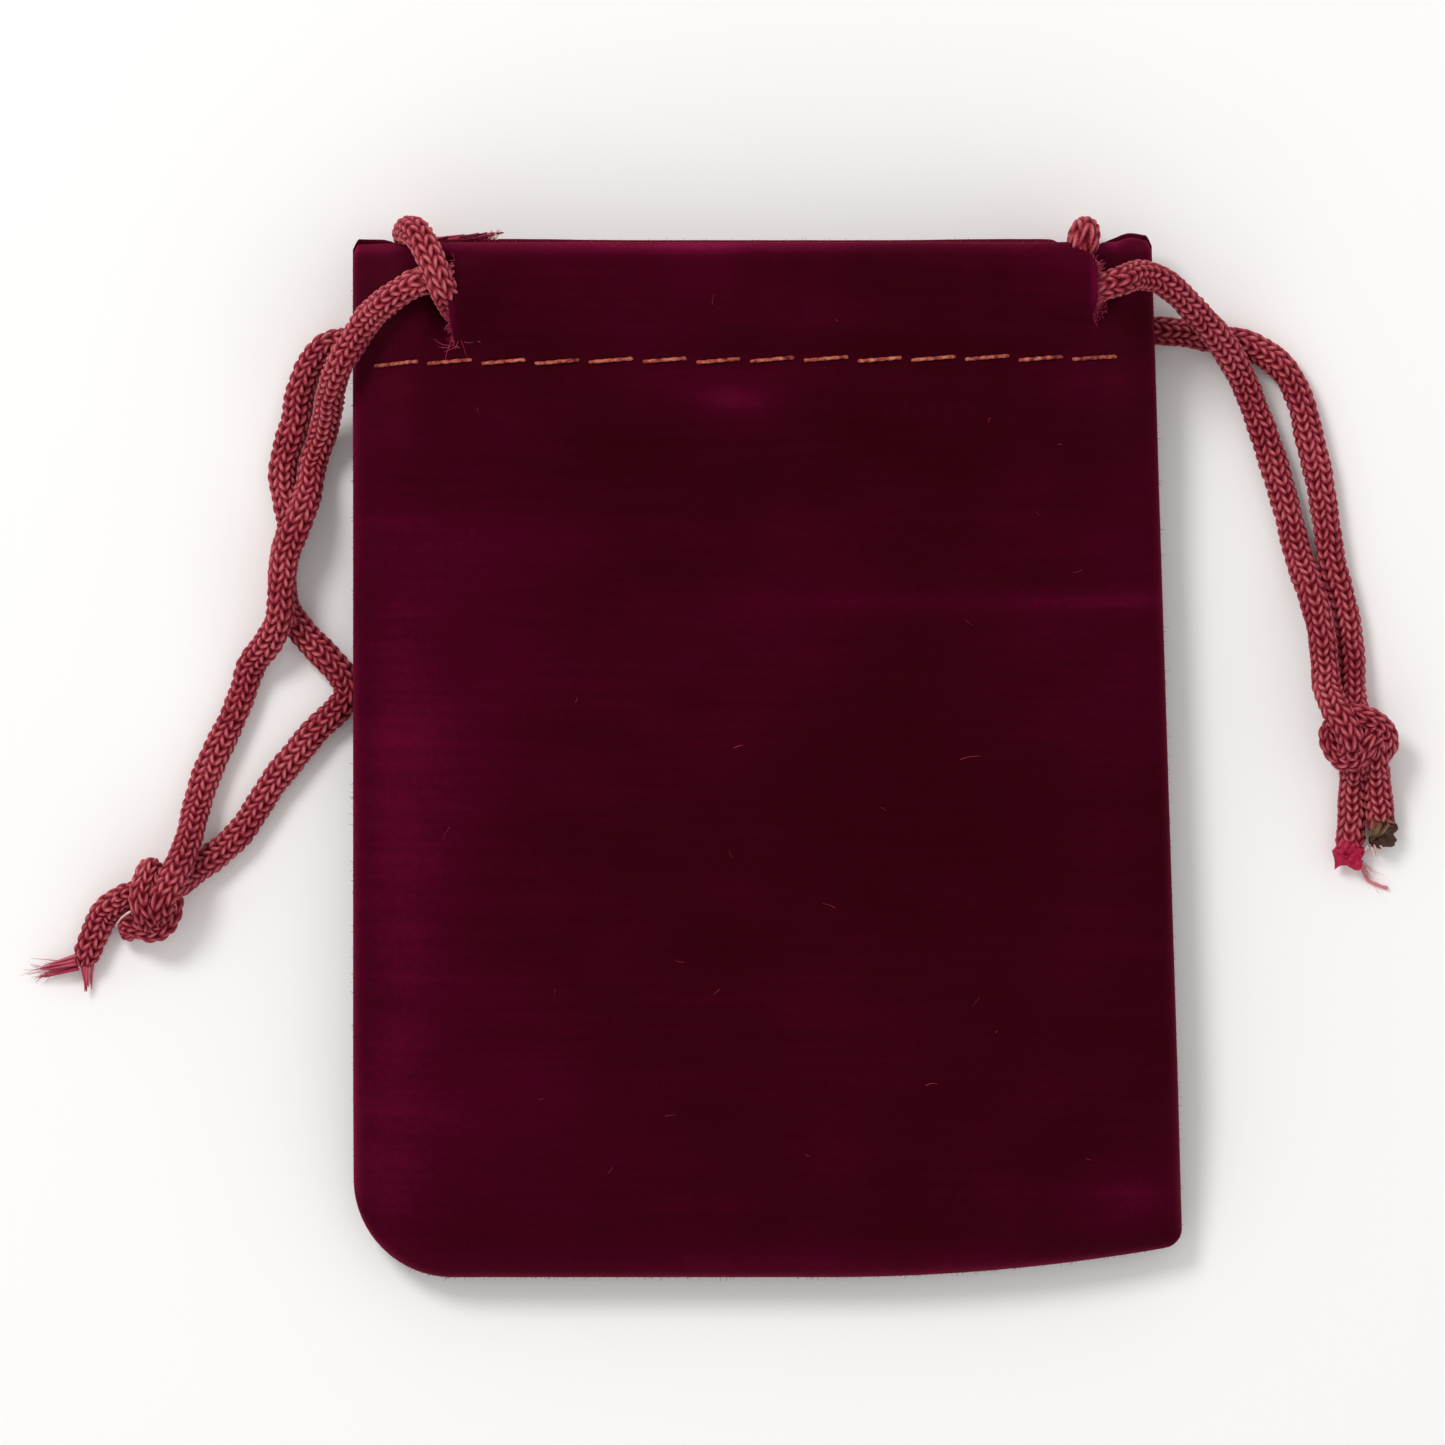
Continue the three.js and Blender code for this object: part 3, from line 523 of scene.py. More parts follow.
def velvet_half(side, is_front):
    """Half a panel, cut open along its slit, with the lie of its pile and its painted sheen and shade."""
    grid, where, slit_column, out = velvet_strip(side, is_front)
    low, high = (BACK_TOP + end for end in SLIT_ENDS[side])
    row_count, column_count = grid.shape[:2]
    whole = open_slit(grid, where, side, out, False)
    cut_rows = [r for r in range(row_count) if low < where[r, slit_column] < max(high, BACK_TOP + 1)]
    if side < 0:
        cut_rows = [r for r in cut_rows if where[r, slit_column] < high]
    centre_cut = open_slit(grid[:, [slit_column]], where[:, [slit_column]], side, out, True)[:, 0]
    points = whole.reshape(-1, 3)
    extra = {r: len(points) + i for i, r in enumerate(cut_rows)}
    points = np.concatenate([points, centre_cut[cut_rows]])
    faces = []
    for r in range(row_count - 1):
        for c in range(column_count - 1):
            ids = []
            for i, j in ((r, c), (r, c + 1), (r + 1, c + 1), (r + 1, c)):
                plain = i * column_count + j
                ids.append(extra.get(i, plain) if j == slit_column and c >= slit_column else plain)
            faces.append(ids if side * out < 0 else ids[::-1])
    name = f"{'front' if is_front else 'back'}_panel_{SIDE_NAME[side]}"
    half = mesh_piece(name, points, faces, velvet)
    solidified(half, FABRIC)
    co = np.array([v.co for v in half.data.vertices]) / MM
    # The pile attribute holds painted sheen and shade as well as the pile's own lie.
    pile = half.data.attributes.new("pile", "FLOAT", "POINT")
    pile.data.foreach_set("value", pile_lie_and_painted_sheen(co[:, 0], co[:, 1], is_front).astype(np.float32))
    return half


for is_front, node in ((True, "front_panel"), (False, "back_panel")):
    for side in (-1, 1):
        half = velvet_half(side, is_front)
        gather(half)
        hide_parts(node)

# ---- The two knitted drawstrings.
# Each is one polyester cord, 2.6 mm thick, knitted as a tube of six wales. Both ends come out of the same
# side of the mouth and are tied together; the middle goes over the mouth's edge at the other side as a loop.

WALES = 6
COURSE = 0.86  # pitch of the knitted rows
GAP_DEPTH = 0.42  # from the top of a stitch to the dark gap beside it
STITCH_SLOPE = 0.72  # each leg of a V climbs this share of a course
LOWEST = 0.02  # cord and thread stay this far off the table
ROWS_PER_COURSE = 7
SIDES_PER_WALE = 10
LEFT_CORNER = np.array([LEFT, BACK_TOP, 0])
RIGHT_CORNER = np.array([RIGHT_TOP, BACK_TOP, 0])
HALF_CORD = CORD / 2
CORNER_TOP = CORNER_LIFT + 4 * FABRIC + 2 * CHANNEL + SIDE_GAP
SEAM_TOP = CORNER_LIFT + 4 * FABRIC + 2 * LAYER_GAP + SIDE_GAP
ON_TOP = CORNER_TOP + CLEARANCE + HALF_CORD
OFF_SEAM = SEAM_TOP + CLEARANCE + HALF_CORD
IN_FRONT = CORNER_TOP - FABRIC - CHANNEL / 2
IN_BACK = CORNER_LIFT + FABRIC + CHANNEL / 2
UNDER = CORNER_LIFT - CLEARANCE - HALF_CORD
FLOOR = HALF_CORD + 0.05

# Knitted polyester cord: each stitch is a plump bundle of shiny filaments. Its colour is painted by its
# height:
# a painted rose highlight on top and painted near-black red shade in the gaps between the stitches. The
# filaments give a soft satin gloss along each stitch.
FILAMENTS = 0.16  # a strand of filaments, drawn coarser than it is so that it shows
DYE_PATCH = 4
cord_knit, tree = new_material("knitted_polyester_cord")
place = add_node(tree, "ShaderNodeTexCoord").outputs["Object"]
stitch_shade_and_highlight = add_node(tree, "ShaderNodeAttribute", {"attribute_name": "stitch"}).outputs["Fac"]
melt = add_node(tree, "ShaderNodeAttribute", {"attribute_name": "melted"}).outputs["Fac"]
burn = add_node(tree, "ShaderNodeAttribute", {"attribute_name": "burnt"}).outputs["Fac"]
filament = add_node(tree, "ShaderNodeTexNoise", values={"Scale": 1 / (FILAMENTS * MM), "Detail": 2.0},
                    links={"Vector": place})
patchy = add_node(tree, "ShaderNodeTexNoise", values={"Scale": 1 / (DYE_PATCH * MM), "Detail": 2.0},
                  links={"Vector": place})
lit = stitch_shade_and_highlight
for source in (filament, patchy):
    part = add_node(tree, "ShaderNodeMath", {"operation": "MULTIPLY_ADD"}, HALF_AROUND_ZERO,
                    {0: source.outputs["Fac"]})
    total = add_node(tree, "ShaderNodeMath", {"operation": "ADD"}, links={0: lit, 1: part.outputs[0]})
    lit = total.outputs[0]
# Painted shade and highlight: the stitch height darkens the gaps to near-black red and lightens the stitches'
# tops to rose.
yarn_painted_light_colour = add_node(tree, "ShaderNodeValToRGB", links={"Fac": lit}, stops=(
    (0.0, "#420008"), (0.3, "#560210"), (0.55, "#80202f"), (0.8, "#a4404c"), (1.0, "#c66a70")))
melted_colour = add_node(tree, "ShaderNodeMix", {"data_type": "RGBA"}, {"B": to_linear("#b8244a")},
                         {"Factor": melt, "A": yarn_painted_light_colour.outputs[0]})
burnt_tone = add_node(tree, "ShaderNodeValToRGB", links={"Fac": patchy.outputs["Fac"]}, stops=(
    (0.35, "#1e0f0c"), (0.5, "#4a2a22"), (0.62, "#54402e"), (0.72, "#7a6248")))
burnt_colour = add_node(tree, "ShaderNodeMix", {"data_type": "RGBA"}, links={
    "Factor": burn, "A": melted_colour.outputs["Result"], "B": burnt_tone.outputs[0]})
yarn_bump = add_node(tree, "ShaderNodeBump", values={"Strength": 0.35, "Distance": 0.05 * MM},
                     links={"Height": filament.outputs["Fac"]})
cord_face = add_node(tree, "ShaderNodeBsdfPrincipled", values={"Roughness": 0.6, "Specular IOR Level": 0.1},
                     links={"Base Color": burnt_colour.outputs["Result"], "Normal": yarn_bump.outputs[0]})
add_node(tree, "ShaderNodeOutputMaterial", links={"Surface": cord_face.outputs[0]})


def smooth_route(points, step):
    """A centripetal Catmull-Rom curve through the points, cut into equal steps."""
    p = np.asarray(points, float)
    p = np.concatenate([[2 * p[0] - p[1]], p, [2 * p[-1] - p[-2]]])
    dense = []
    for a, b, c, d in zip(p[:-3], p[1:-2], p[2:-1], p[3:]):
        t0 = 0
        t1 = t0 + np.linalg.norm(b - a) ** 0.5
        t2 = t1 + np.linalg.norm(c - b) ** 0.5
        t3 = t2 + np.linalg.norm(d - c) ** 0.5
        t = np.linspace(t1, t2, 24, endpoint=False)[:, None]
        ab = (t1 - t) / (t1 - t0) * a + (t - t0) / (t1 - t0) * b
        bc = (t2 - t) / (t2 - t1) * b + (t - t1) / (t2 - t1) * c
        cd = (t3 - t) / (t3 - t2) * c + (t - t2) / (t3 - t2) * d
        abc = (t2 - t) / (t2 - t0) * ab + (t - t0) / (t2 - t0) * bc
        bcd = (t3 - t) / (t3 - t1) * bc + (t - t1) / (t3 - t1) * cd
        dense.append((t2 - t) / (t2 - t1) * abc + (t - t1) / (t2 - t1) * bcd)
    dense = np.concatenate([*dense, p[-2:-1]])
    walked = np.concatenate([[0], np.cumsum(np.linalg.norm(np.diff(dense, axis=0), axis=1))])
    even = np.linspace(0, walked[-1], max(int(round(walked[-1] / step)), 4) + 1)
    return np.stack([np.interp(even, walked, dense[:, k]) for k in range(3)], 1), walked[-1]


def frames_along(route):
    """Two directions across the route at each of its points, carried along without twisting."""
    tangents = np.gradient(route, axis=0)
    tangents /= np.linalg.norm(tangents, axis=1)[:, None]
    side = np.cross(tangents[0], (0.0, 0.0, 1.0))
    if np.linalg.norm(side) < 0.2:
        side = np.cross(tangents[0], (1.0, 0.0, 0.0))
    sides = []
    for tangent in tangents:
        side = side - tangent * (side @ tangent)
        side /= np.linalg.norm(side)
        sides.append(side)
    sides = np.array(sides)
    return sides, np.cross(sides, tangents)


def tube_faces(rings, sides):
    """Quads round a tube of rings, and a fan over each end from the two last points."""
    r, c = np.meshgrid(np.arange(rings - 1), np.arange(sides), indexing="ij")
    n = (c + 1) % sides
    quads = np.stack([r * sides + c, (r + 1) * sides + c, (r + 1) * sides + n, r * sides + n], -1)
    quads = quads.reshape(-1, 4)
    first, last = rings * sides, rings * sides + 1
    base = (rings - 1) * sides
    fans = [(first, i, (i + 1) % sides) for i in range(sides)]
    fans += [(last, base + (i + 1) % sides, base + i) for i in range(sides)]
    return [list(map(int, q)) for q in quads] + fans


def stitch_height(along, around):
    """Height of the knitted surface, 0 in a gap and 1 on top of a stitch. Each wale is a column of Vs."""
    wale = around * WALES
    across = 2 * (wale % 1)
    leg_share = across % 1
    from_middle = np.abs(across - 1)
    course = along / COURSE + STITCH_SLOPE * from_middle + 0.5 * (np.floor(wale) % 2)
    along_leg = np.sqrt(np.maximum(1 - (2 * (course % 1) - 1) ** 2, 0))
    across_leg = np.sqrt(np.maximum(1 - (2 * leg_share - 1) ** 2 * 0.97, 0))
    from_gap = np.abs((course + 0.5) % 1 - 0.5)
    crotch = np.exp(-((from_middle / 0.34) ** 2) - (from_gap / 0.24) ** 2)
    between = np.exp(-(((1 - from_middle) / 0.22) ** 2) - (from_gap / 0.2) ** 2)
    return along_leg**0.9 * (0.14 + 0.86 * across_leg**0.8) * (1 - 0.85 * crotch) * (1 - 0.5 * between)


def knitted_tube(points, diameter=CORD, seed=0, ends=(0.0, 0.0)):
    """A length of the cord. ends tapers each end over so many millimetres."""
    route, length = smooth_route(points, COURSE / ROWS_PER_COURSE)
    side, up = frames_along(route)
    rings, sides = len(route), WALES * SIDES_PER_WALE
    along = np.linspace(0, length, rings)[:, None]
    turn = np.arange(sides)[None, :] / sides
    wobble = 0.012 * np.sin(along * 0.9 + seed) + 0.008 * np.sin(along * 2.3 + 2 * seed)
    uneven_courses = along + 0.05 * np.sin(along * 1.7 + seed)
    height = stitch_height(uneven_courses, (turn + wobble + 0.004 * along) % 1)
    swell = 1 + 0.03 * np.sin(along * 0.55 + seed) + 0.02 * np.sin(along * 1.9 + 3 * seed)
    close = np.ones_like(along)
    for length_in, from_end in zip(ends, (along, length - along)):
        if length_in:
            close = close * np.maximum(bulge(from_end / length_in), 0.12)
    radius = (diameter / 2 * swell - GAP_DEPTH * (1 - height)) * close
    angle = 2 * math.pi * turn
    points = (route[:, None, :] + radius[..., None] * (np.cos(angle)[..., None] * side[:, None, :]
                                                       + np.sin(angle)[..., None] * up[:, None, :]))
    points = np.concatenate([points.reshape(-1, 3), route[:1], route[-1:]])
    heights = np.concatenate([height.ravel(), [0.2, 0.2]])
    share = np.concatenate([np.repeat(np.linspace(0, 1, rings), sides), [0, 1]])
    return {"points": points, "faces": tube_faces(rings, sides), "stitch": heights, "share": share,
            "route": route, "length": length}


def joined(name, lengths, material):
    """One piece from several lengths of cord or thread, kept just off the table."""
    points, faces, start = [], [], 0
    for own_points, own_faces in lengths:
        points.append(own_points)
        faces += [[i + start for i in face] for face in own_faces]
        start += len(own_points)
    points = np.concatenate(points)
    points[:, 2] = np.maximum(points[:, 2], LOWEST)
    return mesh_piece(name, points, faces, material)


def cord_piece(name, tubes, melted=None, burnt=None):
    """One piece from one or more lengths of knitted tube."""
    piece = joined(name, [(tube["points"], tube["faces"]) for tube in tubes], cord_knit)
    # The stitch heights also paint the cord: painted shade in the gaps, painted highlight on the stitches'
    # tops.
    stitches = np.concatenate([tube["stitch"] for tube in tubes])
    for key, values in (("stitch", stitches), ("melted", melted), ("burnt", burnt)):
        data = np.zeros(len(stitches)) if values is None else values
        piece.data.attributes.new(key, "FLOAT", "POINT").data.foreach_set("value", data.astype(np.float32))
    return piece


def at(corner, points):
    """Points measured from a corner, moved to where that corner is."""
    return [tuple(np.array(p) + corner) for p in points]


def level(is_front, share):
    """A cord's height on its way from the channel, 0, out of the slit, 1."""
    return mix(IN_FRONT, ON_TOP, share) if is_front else mix(IN_BACK, UNDER, share)


def lane(left_y, right_y, is_front, side):
    """The half of a channel's cord between the slit and the pouch's middle, from the middle out."""
    first = LEFT + LEFT_SLIT + 4.2
    last = RIGHT_TOP - RIGHT_SLIT - 4.1
    end = first if side < 0 else last
    points = []
    for x in np.linspace(0, end, 7):
        y = BACK_TOP + mix(left_y, right_y, (x - first) / (last - first))
        face = front_face(x, y) if is_front else back_face(x, y)
        points.append((x, y, float(face + (-1 if is_front else 1) * (FABRIC + CHANNEL / 2))))
    return points


NEAR_FOLD = 2.7  # from the top edge to the left cord in its channel
LEFT_LANE = (-NEAR_FOLD - 0.8, -NEAR_FOLD)
RIGHT_LANE = (-7.1, -5.6)

LEFT_CORD_FRONT_STRAND = [
    (9.9, -3.5, level(True, 0.16)), (9.3, -3.55, level(True, 0.32)), (8.6, -3.6, level(True, 0.54)),
    (7.7, -3.7, level(True, 0.84)), (6.5, -3.9, ON_TOP), (5.6, -4.1, ON_TOP), (4.7, -4.6, ON_TOP - 0.3),
    (3.6, -5.3, ON_TOP - 1.0), (1.6, -6.9, OFF_SEAM + 2.4), (0.2, -8.9, OFF_SEAM + 1.0),
    (-1.1, -11.0, OFF_SEAM - 0.3), (-1.8, -13.0, 6.6), (-2.2, -15.0, 4.2), (-2.8, -17.2, 2.5),
    (-3.5, -19.2, 2.15), (-3.9, -21.7, 3.1), (-4.7, -24.2, 4.1), (-5.9, -27.4, 4.15), (-6.2, -30.2, 4.15),
    (-6.4, -32.8, 3.8), (-7.4, -34.8, 2.6), (-8.8, -36.6, 1.6), (-9.6, -39.0, FLOOR), (-10.6, -41.5, FLOOR),
    (-11.8, -44.0, FLOOR), (-12.9, -46.6, FLOOR + 0.1), (-13.7, -49.4, FLOOR + 0.6), (-14.2, -51.7, 3.2),
    (-14.9, -53.6, 4.3), (-15.7, -55.4, 5.1), (-16.45, -56.8, 5.2), (-16.7, -57.8, 4.3), (-16.8, -58.5, 3.0),
]
LEFT_CORD_BACK_STRAND = [
    (9.9, -3.5, level(False, 0.16)), (9.3, -3.55, level(False, 0.32)), (8.6, -3.6, level(False, 0.54)),
    (7.7, -3.7, level(False, 0.84)), (6.5, -3.9, UNDER), (4.8, -4.8, UNDER), (3.4, -6.1, UNDER),
    (1.2, -7.9, UNDER), (-0.6, -8.7, UNDER), (-2.4, -9.1, FLOOR), (-3.8, -10.8, FLOOR), (-4.6, -12.9, FLOOR),
    (-5.1, -15.7, FLOOR), (-5.8, -17.9, FLOOR), (-6.2, -20.3, FLOOR), (-5.8, -22.6, FLOOR),
    (-5.4, -24.6, FLOOR), (-6.0, -27.3, FLOOR), (-6.2, -29.8, FLOOR), (-5.7, -32.0, FLOOR),
    (-4.3, -34.0, FLOOR), (-2.5, -35.9, FLOOR), (-1.0, -37.6, FLOOR), (-0.5, -38.9, FLOOR),
    (-1.3, -40.4, FLOOR), (-3.3, -42.3, FLOOR), (-5.1, -44.5, FLOOR), (-6.8, -46.6, FLOOR),
    (-8.3, -48.9, FLOOR), (-9.8, -51.1, FLOOR), (-11.6, -52.8, FLOOR), (-13.5, -54.2, FLOOR + 0.3),
    (-15.0, -55.4, 2.2), (-16.4, -56.3, 2.5),
]
RIGHT_CORD_FRONT_STRAND = [
    (-7.6, -5.5, level(True, 0.1)), (-7.1, -5.45, level(True, 0.2)), (-6.6, -5.35, level(True, 0.32)),
    (-5.7, -5.0, level(True, 0.56)), (-4.7, -4.5, level(True, 0.7)), (-3.9, -4.2, ON_TOP - 1.3),
    (-3.0, -3.9, ON_TOP - 1.6), (-1.3, -3.3, OFF_SEAM + 2.1), (0.4, -3.6, OFF_SEAM + 0.7),
    (2.1, -4.7, OFF_SEAM - 0.7), (4.0, -6.6, 6.6), (6.0, -8.8, 4.6), (7.9, -11.9, 2.6), (9.2, -15.0, 1.6),
    (10.4, -18.4, FLOOR), (11.7, -22.8, FLOOR), (12.8, -27.1, 1.5), (14.0, -30.8, 2.8), (14.7, -33.7, 3.2),
    (15.0, -36.5, 3.2), (15.2, -38.6, 3.6), (15.8, -40.3, 4.5),
    (16.6, -41.7, 5.3), (17.15, -43.0, 5.4), (17.3, -44.2, 4.3), (17.2, -45.2, 2.9),
]
RIGHT_CORD_BACK_STRAND = [
    (-7.6, -5.5, level(False, 0.1)), (-7.1, -5.45, level(False, 0.2)), (-6.6, -5.4, level(False, 0.32)),
    (-5.7, -5.9, level(False, 0.58)), (-4.7, -6.3, level(False, 0.88)), (-3.8, -6.8, UNDER + 0.1),
    (-2.6, -7.2, UNDER), (-0.8, -7.7, UNDER), (0.8, -7.8, UNDER), (2.9, -8.0, FLOOR), (5.0, -8.4, FLOOR),
    (8.8, -9.2, FLOOR), (11.5, -11.1, FLOOR), (13.0, -13.9, FLOOR), (13.8, -17.2, FLOOR),
    (14.6, -20.5, FLOOR), (15.3, -25.0, FLOOR), (15.8, -28.3, FLOOR), (16.5, -30.9, FLOOR),
    (17.1, -33.6, FLOOR), (17.4, -36.5, FLOOR + 0.1), (17.4, -39.4, FLOOR + 0.7), (17.9, -41.4, 2.9),
    (18.6, -43.0, 3.4),
]
LEFT_CORD_LOOP = [
    (-10.4, -NEAR_FOLD, IN_FRONT), (-8.6, -2.6, IN_FRONT + 0.1), (-7.2, -2.2, IN_FRONT + 0.5),
    (-6.35, -1.4, 12.4), (-6.0, -0.5, 13.1), (-5.9, 0.2, 12.7), (-5.85, 0.5, 11.3), (-5.8, 0.55, 9.4),
    (-5.8, 0.55, 7.4), (-5.8, 0.5, 5.2), (-5.85, 0.3, 3.3), (-5.95, -0.2, 2.1), (-6.2, -1.0, 1.9),
    (-6.8, -1.9, 2.7), (-7.6, -2.5, 4.1), (-8.8, -NEAR_FOLD, 5.1), (-10.4, -NEAR_FOLD, IN_BACK),
]
RIGHT_CORD_LOOP = [
    (13.6, -7.1, IN_FRONT), (11.8, -7.1, IN_FRONT + 0.1), (10.5, -7.0, IN_FRONT + 0.4), (9.6, -6.7, 12.1),
    (8.9, -6.1, 13.3), (8.35, -5.3, 14.7), (7.85, -4.3, 16.0), (7.3, -2.9, 16.5), (6.6, -1.3, 16.1),
    (5.85, 0.0, 15.0), (5.2, 0.45, 13.2), (4.85, 0.5, 10.6), (4.7, 0.45, 7.6), (4.7, 0.4, 5.0),
    (4.8, 0.25, 3.1), (5.3, -0.1, 1.8), (6.6, -0.7, UNDER), (8.2, -1.2, UNDER), (9.6, -2.1, UNDER),
    (10.45, -3.2, UNDER), (10.6, -4.3, UNDER), (10.4, -5.5, UNDER), (10.5, -6.2, level(False, 0.86)),
    (10.9, -6.9, level(False, 0.5)), (11.9, -7.1, level(False, 0.18)), (13.2, -7.1, IN_BACK),
]


def strand(name, points, corner, seed):
    """One free end of a drawstring, from inside its slit to the knot."""
    tube = knitted_tube(at(corner, points), seed=seed, ends=(0.8, 1.4))
    piece = cord_piece(f"{name}_knit", [tube])
    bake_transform(piece)
    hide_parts(name)


strand("left_cord_front_strand", LEFT_CORD_FRONT_STRAND, LEFT_CORNER, 1.0)
strand("left_cord_back_strand", LEFT_CORD_BACK_STRAND, LEFT_CORNER, 2.0)
strand("right_cord_front_strand", RIGHT_CORD_FRONT_STRAND, RIGHT_CORNER, 3.0)
strand("right_cord_back_strand", RIGHT_CORD_BACK_STRAND, RIGHT_CORNER, 4.0)


def loop(name, points, corner, side, lanes, seed, nodes):
    """A drawstring's middle: along the front channel, over the mouth's edge and along the back channel."""
    front = lane(*lanes, True, side)[:-1]
    back = lane(*lanes, False, side)[:-1][::-1]
    tube = knitted_tube([*front, *at(corner, points), *back], seed=seed)
    piece = cord_piece(name, [tube])
    gather(piece)
    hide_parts(*nodes)


loop("left_cord_loop_knit", LEFT_CORD_LOOP, RIGHT_CORNER, 1, LEFT_LANE, 5.0,
     ["left_cord_loop", "left_cord_front_run", "left_cord_back_run"])
loop("right_cord_loop_knit", RIGHT_CORD_LOOP, LEFT_CORNER, -1, RIGHT_LANE, 6.0,
     ["right_cord_loop", "right_cord_front_run", "right_cord_back_run"])

CLIMBS = {-1: (LEFT_CORNER, ((11.6, -3.5, 0.0), (10.4, -3.5, 0.08), (9.5, -3.5, 0.2))),
          1: (RIGHT_CORNER, ((-8.7, -5.55, 0.0), (-7.9, -5.5, 0.06), (-7.3, -5.45, 0.14)))}
for cord, side, lanes in (("left", -1, LEFT_LANE), ("right", 1, RIGHT_LANE)):
    for is_front in (True, False):
        face_name = "front" if is_front else "back"
        corner, climb = CLIMBS[side]
        out_to_slit = at(corner, [(x, y, level(is_front, share)) for x, y, share in climb])
        route = [*lane(*lanes, is_front, side), *out_to_slit]
        near = knitted_tube(route, seed=7.0 + is_front, ends=(0.0, 0.8))
        piece = cord_piece(f"{cord}_cord_{face_name}_run_knit", [near])
        gather(piece)
        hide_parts(f"{cord}_cord_{face_name}_run")

# ---- The knots and the cord's four ends.
# Both strands of a drawstring are tied in one pulled-tight overhand knot. The cut ends were sealed with heat:
# some melted and shiny crimson, one scorched brown, one left to fray.

KNOT_CORD = 2.25  # the cord is squeezed thinner in the knot
LEFT_KNOT = np.array([-17.44, -56.98, 2.9]) + LEFT_CORNER
RIGHT_KNOT = np.array([17.86, -43.12, 2.9]) + RIGHT_CORNER
LEFT_KNOT_TURNS = [
    [(0.2, 0.4, -1.3), (0.3, 1.5, -1.0), (0.15, 2.45, -0.3), (-0.15, 2.65, 0.6), (-0.45, 2.0, 1.4),
     (-0.75, 0.9, 1.95), (-0.75, -0.2, 2.1), (-0.45, -1.2, 1.6), (-0.1, -1.9, 0.5), (0.1, -1.8, -0.8)],
    [(1.0, 1.6, -0.6), (1.55, 0.8, -0.1), (1.75, -0.2, 0.3), (1.6, -1.3, 0.4), (1.0, -2.2, 0.3),
     (0.1, -2.6, 0.1), (-0.8, -2.35, -0.1), (-1.6, -2.05, -0.5), (-2.4, -2.2, -1.1)],
    [(0.3, 0.8, 0.2), (-0.9, 0.75, 0.4), (-2.0, 0.45, 0.0), (-3.1, 0.0, -0.6)],
]
RIGHT_KNOT_TURNS = [
    [(-2.5, 1.9, 0.3), (-1.4, 2.1, 1.1), (-0.1, 2.0, 1.5), (1.3, 1.6, 1.3), (2.3, 0.6, 0.7), (2.4, -0.6, 0.2),
     (1.6, -1.6, -0.4)],
    [(-1.7, 1.6, -0.6), (-2.3, 0.5, 0.0), (-2.1, -0.7, 0.6), (-1.2, -1.7, 1.0), (-0.1, -1.5, 1.5),
     (0.8, -0.4, 1.8), (1.5, 0.7, 0.9)],
    [(-0.3, -0.6, 1.0), (-0.2, -1.6, 1.0), (-0.2, -2.5, 0.4), (-0.2, -3.2, -0.4)],
    [(1.0, 1.8, 0.0), (1.4, 0.3, 0.8), (1.6, -1.2, 0.8), (1.6, -2.3, 0.3), (1.6, -3.2, -0.3)],
]
KNOTS = (("left_knot", LEFT_KNOT, LEFT_KNOT_TURNS, -1), ("right_knot", RIGHT_KNOT, RIGHT_KNOT_TURNS, 1))
for name, centre, turns, side in KNOTS:
    tubes = []
    for i, turn in enumerate(turns):
        tubes.append(knitted_tube(at(centre, turn), KNOT_CORD, seed=9.0 + i, ends=(0.8, 0.8)))
    knot = cord_piece(f"{name}_knit", tubes)
    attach(knot, f"{SIDE_NAME[side]}_drawstring_end")
    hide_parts(name)

LUMP = 0.9  # size of the beads where an end has melted
LEFT_LONG_TAIL = [(-19.6, -57.0, 2.6), (-20.6, -57.35, 2.1), (-21.5, -58.1, 1.5), (-22.3, -59.7, FLOOR),
                  (-22.95, -61.3, FLOOR), (-23.45, -62.9, FLOOR)]
LEFT_SHORT_TAIL = [(-18.6, -58.9, 1.9), (-19.4, -59.3, 1.6), (-20.35, -59.5, FLOOR)]
RIGHT_RED_TAIL = [(17.6, -45.2, 2.2), (17.6, -46.6, 1.6), (17.5, -48.5, FLOOR), (17.35, -51.0, FLOOR),
                  (17.25, -53.0, FLOOR), (17.3, -54.1, FLOOR)]
RIGHT_BURNT_TAIL = [(19.4, -45.2, 2.6), (19.5, -46.6, 2.2), (19.7, -48.3, 1.9), (19.9, -50.2, 1.7),
                    (19.85, -52.3, 1.5)]
TAILS = (  # name, route, corner it is measured from, side, how melted, how burnt, length of its taper
    ("left_long_tail", LEFT_LONG_TAIL, LEFT_CORNER, -1, 0.0, 0.0, 1.8),
    ("left_short_tail", LEFT_SHORT_TAIL, LEFT_CORNER, -1, 0.25, 0.0, 0.9),
    ("right_red_tail", RIGHT_RED_TAIL, RIGHT_CORNER, 1, 1.0, 0.0, 0.9),
    ("right_burnt_tail", RIGHT_BURNT_TAIL, RIGHT_CORNER, 1, 0.0, 1.0, 0.8),
)
for name, points, corner, side, melts, burns, taper in TAILS:
    tube = knitted_tube(at(corner, points), seed=13.0, ends=(0.6, taper))
    near_end = ease(tube["share"] * tube["length"], tube["length"] - 3.0, tube["length"] - 1.2)
    lumps = []
    for p in tube["points"]:
        lumps.append([noise.noise(Vector(p) / LUMP + Vector((7.1 * axis, 0, 0))) for axis in range(3)])
    tube["points"] = tube["points"] + np.array(lumps) * (LUMP * (melts + burns) * near_end)[:, None]
    tail = cord_piece(f"{name}_knit", [tube], melts * near_end, burns * near_end)
    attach(tail, f"{SIDE_NAME[side]}_drawstring_end")
    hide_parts(name)

# ---- The sewing threads.
# One salmon two-ply thread runs across each channel in stitches 3.4 mm long, and dives through the panel
# and its hem between them. A dark red one closes the side and bottom seams from inside.

